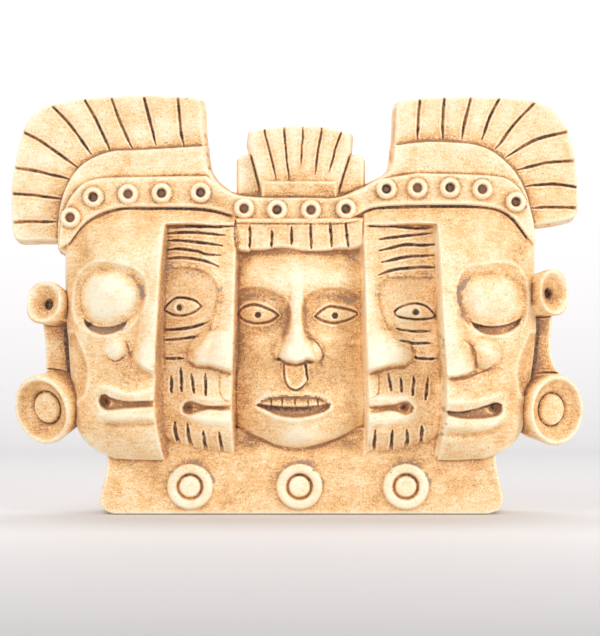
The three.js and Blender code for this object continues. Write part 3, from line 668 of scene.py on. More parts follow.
# The middle heads
# An old man's face inside the outer one, cut open in its turn. It is lined all over with a point
# in the soft clay, its eyes are open, and it is poured in one with the rest.
MIDDLE_CUT, MIDDLE_JAW = 34.0, 31.5
BROW_LINES = {
    -1: [
        [(-71.3, 152.6), (-52.7, 152.9), (-35.3, 152.8)],
        [(-70.6, 149.2), (-60.7, 149.9), (-48.3, 149), (-39.5, 148.1)],
        [(-70.6, 145.5), (-63.8, 145.5), (-58.9, 144.9), (-51.4, 144), (-40.9, 142.6)],
        [(-70.6, 140.3), (-63.3, 140.9), (-54.5, 139.3), (-49, 137.8), (-41.4, 137.5)],
        [(-71.9, 135.3), (-63.8, 136.1), (-54.5, 135.4), (-48.2, 133.7), (-43, 131.5)],
    ],
    1: [
        [(36.6, 153), (47.2, 153), (61.5, 152.1), (72.1, 152.8)],
        [(41.9, 145.9), (50.3, 147.1), (59.6, 148.1), (69.9, 149.4)],
        [(41.9, 139.9), (49, 141.5), (56.5, 143.1), (65.2, 142.8), (72.7, 143.7)],
        [(43.1, 133.7), (50.3, 135.3), (58.4, 136.8), (66.4, 137.2), (72.7, 137.6)],
        [(41.6, 127.2), (49, 129.6), (56.5, 130.6), (66.4, 131.2), (73.7, 131.2)],
    ],
}
CHEEK_LINES = {
    -1: [
        [(-73.5, 98), (-63.9, 98.4), (-55.8, 99.8), (-48.3, 102.3)],
        [(-73.5, 92.7), (-64.5, 93.1), (-53.3, 94.7)],
        [(-71.4, 83), (-61.4, 83)],
    ],
    1: [
        [(51, 98.6), (59.6, 97.3), (69, 97.3)],
        [(52.8, 92.4), (59.6, 91.1), (70.2, 91)],
        [(60.6, 83.4), (66.5, 82.7), (72.1, 83)],
    ],
}
LIP_LINES = {
    -1: [
        [(-67.8, 73.8), (-67.8, 65.1)], [(-62.9, 78.1), (-62.4, 65.7)],
        [(-57.1, 74.8), (-56.1, 65.3)], [(-49.8, 75), (-49.6, 63.8)],
    ],
    1: [
        [(46.5, 75), (48.1, 66.3)], [(53, 72.8), (53.7, 65.4)], [(60.2, 73.4), (59.5, 63.8)],
        [(67.6, 73.1), (66.4, 61.3)],
    ],
}
CHIN_LINES = {
    -1: [
        [(-66.1, 49.5), (-65.4, 42), (-63.4, 36)], [(-59.2, 48.2), (-58.3, 40), (-56.4, 33.8)],
        [(-51.1, 45.1), (-50.4, 39), (-49.7, 32)], [(-42.4, 43.9), (-41.8, 38), (-40.8, 31.4)],
    ],
    1: [
        [(39.7, 45.1), (39.3, 38), (39.1, 30)], [(48.7, 45.1), (48.3, 38), (47.9, 30)],
        [(56.5, 45.1), (56.5, 38), (55.2, 32)], [(64.6, 47), (64.3, 41), (63.4, 35.4)],
    ],
}
MIDDLE_EYES = {
    -1: (
        [(-72, 108.8), (-69.5, 112), (-65.2, 114.9), (-58.9, 114.4), (-54.6, 112.9), (-52.2, 110.4)],
        [(-52.2, 110.4), (-55.8, 107.6), (-62.1, 105.7), (-67, 106.1), (-70.8, 107.9), (-72, 108.8)],
        (-63.6, 109.8),
    ),
    1: (
        [(50, 107.6), (52.2, 109.5), (56.6, 111.3), (61.5, 111.9), (66.5, 110.7), (69.7, 107.9),
         (71.7, 105.5)],
        [(71.7, 105.5), (69, 104.2), (61.5, 103.6), (54.7, 104.5), (51, 105.7), (50, 107.6)],
        (61.2, 107.3),
    ),
}
MIDDLE_SOCKETS = {
    -1: outline([
        (-76, 129), (-71.2, 130.4), (-66.8, 131.4), (-57.5, 131.2), (-49.5, 128.8), (-44.2, 123.4),
        (-42.6, 116.5), (-44.4, 107), (-47.5, 97), (-55, 88.5), (-64, 86), (-78, 86), (-78, 110),
        (-76, 129),
    ]),
    1: outline([
        (76, 125.5), (68.8, 126.3), (56.4, 126.3), (47.7, 125.9), (42.9, 123.4), (41.2, 118),
        (41.7, 111), (43.6, 104.2), (46.2, 98.2), (51.5, 91.8), (58, 88), (66, 86), (78, 86),
        (78, 110), (76, 125.5),
    ]),
}
MIDDLE_MOUTHS = {
    -1: outline(
        [(-62.6, 57), (-60.6, 60), (-57.4, 60.8), (-54, 59.8), (-48.2, 58.4), (-40, 58.6), (-28, 59)],
        [(-28, 55.4), (-40, 55.2), (-48.2, 55.6), (-54, 54.2), (-58.2, 53), (-61.8, 54.2), (-62.6, 57)],
    ),
    1: outline(
        [(28, 58.2), (36, 58.3), (44, 58.8), (50.2, 59.4), (54, 60.6), (57.6, 60.2), (60.6, 57)],
        [(59.6, 54.2), (56, 52.9), (52.6, 53.8), (48, 55), (40, 54), (28, 53.4)],
    ),
}
MIDDLE_EDGES = {
    side: beside(
        side, MIDDLE_CUT, (-0.2, 150), (0.2, 128), (1, 90), (2, 58), (1, MIDDLE_JAW - 3)
    )
    for side in (-1, 1)
}
# A notch at the nose's wing, and the edge of the half pendant under the nose
NOSE_LINES = {
    -1: (
        [(-56.4, 84.4), (-56.1, 80.2)],
        [(-42.3, 73.6), (-42.6, 68.2), (-41.4, 63.3), (-38.9, 60.6), (-34, 60)],
    ),
    1: (
        [(58.2, 91), (60.6, 86.5), (61, 81)],
        [(41.5, 73.6), (41.6, 66.9), (39.9, 63.3), (34, 60.7)],
    ),
}
for side in (-1, 1):
    away = side * x - MIDDLE_CUT
    form = 38 - 4 * ease(8, 40, away) - 7 * ease(118, LEDGE, z)
    form -= 9 * (1 - ease(MIDDLE_JAW - 2, MIDDLE_JAW + 14, z))
    head = sheet(form, 0.43 + 0.05 * ease(6, 36, away))
    # Socket and open eye
    hollow(head, MIDDLE_SOCKETS[side], 3.0, 6, wash_and_shading=-0.04, rim=0.5, fade=(84, 100))
    crease(head, MIDDLE_SOCKETS[side][8:88], width=1.3, depth=0.2, dark=0.1, halo=0.32)
    upper, lower, pupil = MIDDLE_EYES[side]
    swell(head, outline(upper, lower), 2.4, 4)
    ridge(head, np.array(upper) + (0, 1.5), 0.5, 0.9, wash_and_shading=-0.12)
    ridge(head, np.array(lower) - (0, 1.4), 0.35, 0.9, wash_and_shading=-0.05)
    incise(head, upper, width=1.5, depth=1.1, dark=0.95, tips=(0.8, 0.8), burr=0.1, halo=0.25)
    incise(head, lower, width=1.35, depth=1.0, dark=0.92, tips=(0.8, 0.8), burr=0.1, halo=0.25)
    mound(head, *pupil, 2.0, 2.0, -1.8, 0.8)
    smear(head, *pupil, 2.0, 2.0, 1.15, INK_AND_SHADOW)
    rim = [
        (pupil[0] + 2.9 * math.cos(turn), pupil[1] + 2.9 * math.sin(turn))
        for turn in np.linspace(0, 6.2, 13)
    ]
    ridge(head, rim, 0.35, 0.5, wash_and_shading=-0.1)
    socket_edge = MIDDLE_SOCKETS[side][8:80:8]
    ridge(head, socket_edge, 0, 1.3, wash_and_shading=0.16)
    dabs(head, socket_edge, 16)
    # Nose: a half ridge, its wing, and half of the pendant under it
    t = np.clip((124 - z) / 44, 0, 1)
    half = 6 + 9 * t**1.3
    bridge = (1.2 + 5 * t**1.2) * np.clip(1 - (np.clip(away, 0, None) / half) ** 2, 0, 1) ** 1.1
    under = np.interp(away, [0, 6, 13, 21, 26], [74.4, 76.2, 78.4, 79.0, 82])
    end = ease(-0.8, 2.6, z - under)
    head[HEIGHT] += bridge * end * (1 - ease(114, 132, z))
    at = around(np.array([[side * 30, 70], [side * 64, 104]]), 0)
    r2 = ((side * x[at] - MIDDLE_CUT - 10) / 15.5) ** 2 + ((z[at] - 84.5) / 14) ** 2
    head[HEIGHT][at] += 6.2 * np.clip(1 - r2, 0, 1) ** 0.75 * end[at]
    head[WASH_AND_SHADING][at] -= 0.3 * np.clip(1.1 - r2, 0, 1) * end[at]
    nose_foot = beside(side, MIDDLE_CUT, (0.5, 74.4), (8, 76.6), (14, 78.2), (21, 79), (25, 82))
    nose_foot = [(across, up - 0.6) for across, up in nose_foot]
    crease(head, nose_foot, width=0.9, depth=0.5, dark=0.3, halo=0.3)
    notch, drop = NOSE_LINES[side]
    crease(head, notch, width=0.8, depth=0.6, dark=0.25, halo=0.2)
    incise(head, drop, width=0.9, depth=0.8, dark=0.25, burr=0.15, halo=0.3)
    # Mouth with a round open corner
    mound(head, side * (MIDDLE_CUT + 8), 57, 27, 15, 1.8)
    upper_lip = beside(side, MIDDLE_CUT, (-3, 62.6), (12, 61.6), (25, 63))
    lower_lip = beside(side, MIDDLE_CUT, (-3, 50.2), (12, 50.6), (26, 52.6))
    ridge(head, upper_lip, 1.2, 1.8, wash_and_shading=-0.2)
    ridge(head, lower_lip, 1.7, 2.9, wash_and_shading=-0.32)
    hollow(head, MIDDLE_MOUTHS[side], 3.2, 1.4, wash_and_shading=0.26, rim=0.2)
    gap = beside(side, MIDDLE_CUT, (-4, 57), (12, 57.1), (22, 57))
    crease(head, gap, width=1.2, depth=0.3, dark=0.5, halo=0.2)
    hole = (-58.9, 57) if side < 0 else (55.2, 57.2)
    mound(head, *hole, 2.8, 2.8, -2.2, 1)
    smear(head, *hole, 1.7, 1.7, 0.85, INK_AND_SHADOW)
    for line in BROW_LINES[side]:
        ridge(head, np.array(line) + (0, 2.2), 0.35, 1.3)
        incise(head, line, width=1.8, depth=1.5, dark=0.95, tips=(0.6, 0.4), halo=0.36)
    for line in CHEEK_LINES[side]:
        ridge(head, np.array(line) + (0, 2.2), 0.4, 1.3, wash_and_shading=-0.08)
        incise(head, line, width=1.75, depth=1.4, dark=0.95, tips=(0.8, 0.3), halo=0.36)
    for line in LIP_LINES[side]:
        incise(head, line, width=1.85, depth=1.7, dark=0.97, tips=(0.4, 0.7), halo=0.42)
    for line in CHIN_LINES[side]:
        incise(head, line, width=2.1, depth=2.1, dark=0.88, tips=(0.5, 0.9), burr=0.15, halo=0.42)
    # In the corner along the outer head's sawn wall: a thin band of wash and painted shade at the left,
    # and painted light on the strip beside the wall at the right
    wall_foot = np.interp(z, [28, 46, 62, 100, 130, LEDGE], [38.5, 41, 41.8, 40.6, 39.2, 37.8])
    foot_off, foot_wide, foot_wash_shade_and_light = ((0.6, 1.3, 0.34), (2.0, 2.2, -0.3))[side > 0]
    head[WASH_AND_SHADING] += foot_wash_shade_and_light * np.exp(-(((away - wall_foot + foot_off) / foot_wide) ** 2))
    smear(head, side * (MIDDLE_CUT + 34), 127, 5, 3, 0.12)
    smear(head, side * (MIDDLE_CUT + 24), 127, 10, 2.2, 0.32, STAIN)
    smear(head, side * (MIDDLE_CUT + 38), 36, 4, 6, 0.5)
    saw = outline(
        (side * 34, 175),
        MIDDLE_EDGES[side],
        *beside(side, 0, (MIDDLE_CUT, 15), (90, 15), (90, 175)),
    )
    jaw_line = [(36, 0), (52, 0.3), (60, 1.6), (68, 6), (74, 12), (80, 18)]
    jaw = outline(
        (side * 20, 175),
        (side * 20, MIDDLE_JAW),
        [(side * out, MIDDLE_JAW + up) for out, up in jaw_line],
        (side * 80, 175),
    )
    trim(head, jaw, worn=3.0)
    trim(head, saw, worn=0.6, draft=6.0, wall=0.1)
    trim(head, outline((-150, 10), (150, 10), (150, 155), (-150, 155)), worn=0.1)
    lay(head)

# The inner head
# A young full face that is left whole, with almond eyes, a nose pendant and an open mouth with
# teeth. It is modelled in clay between the cut halves and poured in one with the rest.
NOSE_X = -1.6
aside = x - NOSE_X
form = 36 - 8 * (np.abs(aside) / 35) ** 2.2 - 8.5 * ease(122, 142, z)
form -= 6 * (1 - ease(33, 50, z - 0.006 * aside**2))
face = sheet(form, 0.54 + 0.03 * ease(16, 32, np.abs(aside)) + 0.1 * ease(-22, -34, x))
smear(face, NOSE_X, 125, 21, 9, -0.34)
smear(face, NOSE_X + 1, 42, 14, 6.5, -0.44)
INNER_SOCKETS = [
    outline([
        (-42, 112), (-34, 117), (-31.5, 119.6), (-26.9, 120.7), (-19, 120.3), (-11.3, 117.6),
        (-6.7, 113.4), (-4.4, 108.2), (-4.4, 101), (-6.6, 95.4), (-12, 93.5), (-20, 93), (-32, 91),
        (-42, 90), (-42, 112),
    ]),
    outline([
        (42, 112), (31.6, 116.2), (26, 119.5), (18.5, 120.5), (10.9, 120), (4.3, 117), (0.9, 111.7),
        (0.6, 106.2), (1.0, 100.6), (3.2, 95.6), (9, 93.5), (18, 93), (30, 91), (42, 90), (42, 112),
    ]),
]
INNER_EYES = [
    (
        [(-32.8, 106.7), (-30.6, 109.4), (-27, 111), (-22.9, 111.2), (-18, 109.7), (-14.4, 107.7),
         (-11.6, 105.5)],
        [(-11.6, 105.5), (-15.4, 102.9), (-20.4, 101.7), (-25.5, 101.9), (-30, 103.6),
         (-32.8, 106.7)],
        (-22.2, 105.9),
    ),
    (
        [(8.2, 105.2), (11.4, 108.2), (15.5, 110.2), (20, 110), (25.6, 108.7), (29.6, 107.2),
         (30.2, 105.9)],
        [(30.2, 105.9), (25.6, 103.6), (18.5, 101.7), (13.4, 102.4), (9.9, 103.9), (8.2, 105.2)],
        (18.5, 105.6),
    ),
]
for shape, (upper, lower, pupil) in zip(INNER_SOCKETS, INNER_EYES):
    hollow(face, shape, 3.2, 6, wash_and_shading=0.05, rim=0.45, fade=(88, 103))
    crease(face, shape[8:72], width=1.5, depth=0.3, dark=0.16, halo=0.34)
    swell(face, outline(upper, lower), 2.6, 4.2)
    ridge(face, np.array(upper) + (0, 1.7), 0.7, 0.9, wash_and_shading=-0.16)
    ridge(face, np.array(lower) - (0, 1.5), 0.4, 0.9, wash_and_shading=-0.06)
    incise(face, upper, width=1.6, depth=1.1, dark=0.5, tips=(0.8, 0.8), burr=0.15, halo=0.5)
    incise(face, lower, width=1.5, depth=1.0, dark=0.46, tips=(0.8, 0.8), burr=0.15, halo=0.46)
    smear(face, pupil[0], pupil[1], 3.4, 3, -0.3)
    mound(face, *pupil, 2.0, 2.0, -1.8, 0.8)
    smear(face, *pupil, 1.5, 1.5, 1.9, INK_AND_SHADOW)
    smear(face, *pupil, 2.0, 2.0, 0.75)
    smear(face, pupil[0], 115.5, 9, 2.6, 0.24)
    dabs(face, [(pupil[0] - 9, 114.5), (pupil[0], 117), (pupil[0] + 9, 113.5)], 9, size=1.0)
for brow_spot in ((16, 114.6, 5.5, 1.0, 0.45), (25, 113.6, 3.2, 1.1, 0.5),
                  (-29.5, 115.8, 2.2, 1.2, 0.35), (-23, 115.6, 1.6, 1.0, 0.35)):
    smear(face, *brow_spot, STAIN)
smear(face, -20, 96, 9, 3, 0.1)
# Nose with its wings
t = np.clip((118 - z) / 36, 0, 1)
half = 3.8 + 6.8 * t**1.8
bridge = (2.2 + 7.2 * t**1.2) * np.clip(1 - (np.abs(aside) / half) ** 2.2, 0, 1) ** 1.1
under = np.interp(
    x, [-13, -10.5, -7.2, -2.2, 1.6, 3.6, 8, 11.5], [82.8, 82.6, 80.4, 79.6, 80.6, 81.8, 81.6, 81.6]
)
end = ease(-0.5, 2.4, z - under)
face[HEIGHT] += bridge * end * (1 - ease(112, 126, z))
face[WASH_AND_SHADING] -= 0.055 * bridge * end
mound(face, -9.0, 86.8, 5.4, 6.0, 2.2, 1.3)
mound(face, 6.9, 86.8, 5.6, 6.6, 3.2, 0.85)
smear(face, -8.5, 87.5, 3.6, 4, -0.1)
smear(face, 6.5, 87, 4.5, 5, -0.16)
right_wing = [(3.1, 94.6), (6, 93.4), (8.6, 91.6), (11, 88.6), (12.2, 85.2), (11.2, 81.4)]
left_wing = [(-12.4, 92.2), (-15, 89), (-15.2, 85.8), (-12.9, 82.6)]
nose_foot = [(-13, 82.6), (-10.6, 82.5), (-7.2, 80.2), (-2.2, 79.3), (1.6, 80.3), (3.4, 81.4)]
# The crease round the right wing is dark partly with painted shade on the nose's shaded right side; the
# one round the left wing is nearly clean
crease(face, right_wing, width=1.1, depth=0.8, dark=0.5, halo=0.55)
ridge(face, [(2.3, 110), (2.3, 103), (3.2, 97), (6.4, 93.8)], -0.7, 1.5, wash_and_shading=0.34)
ridge(face, [(-6.2, 110), (-6.2, 103), (-7.2, 97), (-10.6, 94)], -0.7, 1.8, wash_and_shading=0.34)
crease(face, left_wing, width=0.9, depth=0.3, dark=0.0, halo=0.12)
crease(face, nose_foot, width=0.9, depth=0.6, dark=0.4, halo=0.3)
for nostril_x, nostril_z, wide in ((-11.2, 82.6, 1.7), (5.3, 81.2, 2.7)):
    mound(face, nostril_x, nostril_z, wide, 1.3, -1.5, 1)
    smear(face, nostril_x, nostril_z, wide * 0.75, 0.8, 0.85, INK_AND_SHADOW)
# Nose pendant, a flat loop with a raised rim
loop = [
    (-8.4, 79.9), (-8.3, 74.2), (-7.3, 70.1), (-5.3, 67.3), (-2.2, 66.4), (0.8, 67.7), (3.3, 70.4),
    (3.6, 75), (3.1, 79.7),
]
hollow(face, outline(loop), -0.9, 1.2)
ridge(face, np.array(loop[1:-1]) * (0.8, 0.86) + (-0.5, 10.4), 0.7, 1.2, wash_and_shading=-0.3)
incise(face, loop[:7], width=1.1, depth=1.0, dark=0.66, tips=(0.7, 0.6), burr=0.2, halo=0.4)
loop_shadow = [(3.0, 79.8), (3.3, 75.5), (3.9, 71.8)]
incise(face, loop_shadow, width=1.5, depth=1.4, dark=1.0, tips=(0.9, 0.5), halo=0.3)
# Open mouth: lips, upper teeth and the dark gap under them
LIPS = outline(
    [(-23.6, 58), (-19.3, 61.6), (-14.3, 63.1), (-2.2, 63.7), (8.4, 63.1), (13.4, 61.4),
     (16.2, 58.8)],
    [(15.8, 56.6), (12.6, 54.4), (5.8, 52.4), (-2.2, 51.3), (-11.3, 52.4), (-17.9, 55.3),
     (-23.6, 58)],
)
mound(face, NOSE_X - 2, 57.5, 27, 14, 2.6)
at = around(LIPS, 6)
outward = -within(LIPS, at)
lip_rim = np.exp(-(((outward - 1.1) / 1.1) ** 2))
face[HEIGHT][at] += 0.7 * lip_rim
face[WASH_AND_SHADING][at] -= 0.12 * lip_rim * (1 - 2 * ease(6, 15, x[at]))
hollow(face, LIPS, 4.6, 1.4, wash_and_shading=0.28)
at = around(LIPS, 1)
bite = z[at] - np.interp(x[at], [-22.4, -14.4, -2.2, 9.5, 14.8], [58.4, 57.6, 57.1, 57.6, 58.5])
inner = within(LIPS, at) > 0.25
teeth = inner & (bite > 0)
face[HEIGHT][at] += 2.6 * teeth * ease(0, 0.9, bite)
face[WASH_AND_SHADING][at] -= 0.18 * teeth * (1 - ease(0, 3.5, bite))
crease(face, LIPS[:49] - (0, 0.5), width=1.1, depth=0.3, dark=0.6, tips=(0.5, 0.5), halo=0.2)
gap = inner * ease(-5.2, -0.4, bite) * (bite <= 0)
face[INK_AND_SHADOW][at] = np.maximum(face[INK_AND_SHADOW][at], 0.95 * gap**1.5 * ease(15, 6, np.abs(x[at] + 6) * 0.75))
face[WASH_AND_SHADING][at] += 0.32 * gap
for tooth_x, top in ((-15.2, 62.3), (-9.5, 62.5), (-2.6, 62.6), (4.1, 60.9), (9.4, 61.8)):
    between = [(tooth_x, top), (tooth_x + 0.1, 57.6)]
    crease(face, between, width=1.0, depth=1.0, dark=0.85, tips=(0.6, 0.9), halo=0.15)
# Chin and jaw
mound(face, NOSE_X + 2, 42.2, 15, 8.5, 2.0)
jaw = outline(
    (-60, 175),
    (-60, 46),
    [(-38, 48), (-32, 45.6), (-27, 42.9), (-19.5, 39.9), (-13, 37), (NOSE_X, 34.9), (10, 37),
     (21, 40.8), (31, 44.6), (38, 48)],
    (60, 46),
    (60, 175),
)
trim(face, jaw, worn=3.2)
trim(face, outline((-60, 20), (60, 20), (60, 158), (-60, 158)), worn=0.1, draft=60)
lay(face)
for line, dark in (([(-34, 47), (-27, 42), (-19.5, 38.9), (-13, 36), (-6, 34.4)], 0.26),
                   ([(-6, 34.2), (NOSE_X, 33.9), (8, 35.4), (18, 39), (32, 45)], 0.2)):
    crease(casting, line, width=1.1, depth=0.4, dark=dark, tips=(0.7, 0.5), halo=0.22)
# The corners along the middle head's sawn walls: a broken dark line of painted shadow at the left, and
# painted light along the right one, where the wall catches the light
for wall_x, dark, halo in ((-33.2, 0.52, 0.12), (33.6, 0.0, -0.34)):
    corner = [(wall_x, 128), (wall_x * 1.01, 100), (wall_x * 1.02, 70), (wall_x, 48)]
    crease(casting, corner, width=1.3, depth=0.3, dark=dark, tips=(0.4, 0.8), halo=halo)
casting[WASH_AND_SHADING] -= 0.2 * np.exp(-(((x - 32) / 1.8) ** 2)) * ease(44, 50, z) * (1 - ease(130, 138, z))
smear(casting, -27, 38, 6, 3.6, 0.4)
smear(casting, -30, 39, 5, 4, 0.3, STAIN)
smear(casting, 24, 37.6, 6, 2.5, 0.25)

# The fringe under the headband
# Seven flat tabs over the inner forehead, cut from one strip of clay by lines drawn down it, their
# lower ends a little uneven. They are poured in one with the rest.
FRINGE_PROUD = 31.0
fringe_shape = outline(
    (-33.9, 157), (-33.9, 140.6),
    [(-33.6, 140.6), (-27.6, 139.8)], [(-26, 140.9), (-20, 140.7), (-15.6, 141.4)],
    [(-14.4, 141.6), (-9, 141.9), (-4.9, 141.4)], [(-3.6, 141.2), (1, 140.2), (5.2, 139.8)],
    [(6.4, 140), (12, 140), (16.6, 140.6)], [(17.6, 141.2), (22, 141.5), (25.2, 141.5)],
    [(26.4, 141.2), (30, 142), (33.4, 143)], (33.4, 157),
)
fringe = slab(fringe_shape, FRINGE_PROUD - 0.4, 0.44, worn=1.3, draft=14)
FRINGE_CUTS = [
    [(-26.6, 153), (-26.6, 141)], [(-15, 150.4), (-15, 142)], [(-4.5, 152.5), (-4.5, 143)],
    [(5.5, 154.3), (5.9, 141.4)], [(16.1, 154.3), (17, 141.6)], [(24.3, 154.3), (25.7, 141.6)],
]
for cut in FRINGE_CUTS:
    ridge(fringe, cut, -0.9, 2.1, wash_and_shading=0.04)
    incise(fringe, cut, width=1.75, depth=1.7, dark=0.98, tips=(0.7, 0.6), burr=0.1, halo=0.25)
fringe_top = [(-34, 154.4), (-27, 154.4), (0, 154.2), (24, 154.6), (33, 157)]
crease(fringe, fringe_top, width=1.1, depth=0.7, dark=0.6, halo=0.4)
# Painted light along the lower ends of the tabs
smear(fringe, 0, 141.4, 34, 1.4, -0.15)
lay(fringe)
fringe_end = [(-34.2, 156), (-34.3, 148), (-33.9, 140)]
crease(casting, fringe_end, width=1.9, depth=1.2, dark=0.95, tips=(0.5, 0.8), halo=0.3)
shadow = np.exp(-(((z - 138.8) / 1.4) ** 2)) * (1 - ease(31, 34, np.abs(x)))
casting[WASH_AND_SHADING] += 0.42 * shadow
casting[INK_AND_SHADOW] = np.maximum(casting[INK_AND_SHADOW], 0.4 * shadow * ease(-20, -34, x))
smear(casting, 28.5, 136.5, 4.2, 3.0, 0.5, STAIN)

# The ear straps
# A rough band of clay at each side that ties the small ear ornament to the large one, pressed
# against the head, with a dark seam where they meet. It is poured in one with the rest.
STRAP_PROUD = 20.0
straps = (
    outline([(-137.8, 102), (-136.3, 88), (-136, 74)], (-135, 66), (-116, 66), (-120, 102)),
    outline([(135.3, 108), (134.3, 90), (136, 80), (141, 72)], (138, 66), (118, 66), (120, 108)),
)
for shape, mid, strap_wash in zip(straps, (-130, 130), (0.42, 0.68)):
    strap = slab(shape, STRAP_PROUD, strap_wash, worn=1.3)
    smear(strap, mid + 2, 93, 3, 5, 0.3, STAIN)
    smear(strap, mid - 2, 82, 3, 4, 0.28, STAIN)
    smear(strap, mid, 98, 6, 2.5, 0.3)
    lay(strap)
for side, above in (-1, (125.9, 125.6, 124.8)), (1, (126.9, 127.0, 126.6)):
    head_edge = (*above, 123, 121.6, 119.4, 116)
    seam = beside(side, 0, *zip(head_edge, (122, 104, 88, 70, 58, 48, 39)))
    crease(casting, seam, width=2.6, depth=0.2, dark=0.8, tips=(0.6, 0.5), halo=0.5)
for line in (
    [(-136.5, 100.6), (-130, 100.4), (-125, 101.6)], [(-136.4, 77.4), (-130, 76.6), (-124, 75.4)],
    [(125, 74.4), (132, 75.2), (139.5, 74.6)], [(126, 105), (131, 104.8), (135, 105.2)],
):
    incise(casting, line, width=1.1, depth=1.2, dark=0.8, burr=0.1, halo=0.4)

# The soft unevenness of modelled clay, taken on in the mould
# The whole surface waves by a few tenths of a millimetre, and its edges are softened by the rubber.


def blur(map_, size):
    """Gaussian blur of a map, size in millimetres."""
    up, across = np.fft.fftfreq(map_.shape[0], GRAIN), np.fft.rfftfreq(map_.shape[1], GRAIN)
    kept = np.exp(-2 * (math.pi * size) ** 2 * (up[:, None] ** 2 + across**2))
    return np.fft.irfft2(np.fft.rfft2(map_) * kept, map_.shape)


def unevenness(size):
    """Random waves of one width, as high as low."""
    rough = blur(hand.normal(size=x.shape), size)
    return rough / rough.std()


solid = casting[HEIGHT] > 2
casting[HEIGHT] = blur(casting[HEIGHT], 0.26)
casting[HEIGHT] += solid * (0.16 * unevenness(7) + 0.07 * unevenness(2.6))
FOREMOST = 56.4
casting[HEIGHT] = np.minimum(casting[HEIGHT], FOREMOST)

# The front as a mesh, closed by the flat back
# The map becomes a grid of faces with a rim and a lid behind it. A block then cuts it off flat at
# the back, where the mould was open, and at the underside of the foot.
bpy.ops.object.select_all(action="DESELECT")
bpy.ops.mesh.primitive_grid_add(
    x_subdivisions=columns.size - 1, y_subdivisions=rows.size - 1, size=1
)
mask = bpy.context.object
mask.name = "mask_casting"
front = BACK - np.maximum(casting[HEIGHT], -4)
places = np.stack([x + PHOTO_AXIS, front, z], axis=-1) / 1000
mask.data.vertices.foreach_set("co", places.ravel())
mask.data.update()
bpy.ops.object.mode_set(mode="EDIT")
bpy.ops.mesh.select_mode(type="EDGE")
bpy.ops.mesh.select_all(action="DESELECT")
bpy.ops.mesh.select_non_manifold()
bpy.ops.mesh.extrude_edges_move(TRANSFORM_OT_translate={"value": (0, 0.008, 0)})
bpy.ops.mesh.edge_face_add()
bpy.ops.mesh.select_all(action="SELECT")
bpy.ops.mesh.normals_make_consistent(inside=False)
bpy.ops.object.mode_set(mode="OBJECT")


def join(piece, other, operation):
    """Joins or cuts a piece with another closed shape, which is used up."""
    change = piece.modifiers.new("join", "BOOLEAN")
    change.operation, change.solver, change.object = operation, "MANIFOLD", other
    bpy.context.view_layer.objects.active = piece
    bpy.ops.object.modifier_apply(modifier="join")
    bpy.data.objects.remove(other)


bpy.ops.object.select_all(action="DESELECT")
bpy.ops.mesh.primitive_cube_add(
    size=1, location=(0, BACK / 1000 - 0.03, 0.12), scale=(0.4, 0.06, 0.24)
)
join(mask, bpy.context.object, "INTERSECT")

# The ear spools
# A small flared spool over a large dished one at each side, turned forms that face a little
# outwards. They are modelled with the straps and poured in one with the rest.
SPOOL_DEPTH, BACK_TAPER, SMALL_SQUARE = 22.0, 2.4, 0.4
# Kind, place, radius, how far forward, lean outwards, nod, and how much narrower than round
SPOOLS = [
    ("small", (-135.6, 112.8), 11.3, 33.0, 0.35, -0.2, 0.92),
    ("small", (134.6, 118), 12.3, 33.0, 0.45, -0.1, 0.74),
    ("large", (-136.8, 55.4), 18.8, 33.5, 0.45, 0.22, 0.92),
    ("large", (136.2, 55.6), 18.8, 33.5, 0.45, 0.02, 0.9),
]
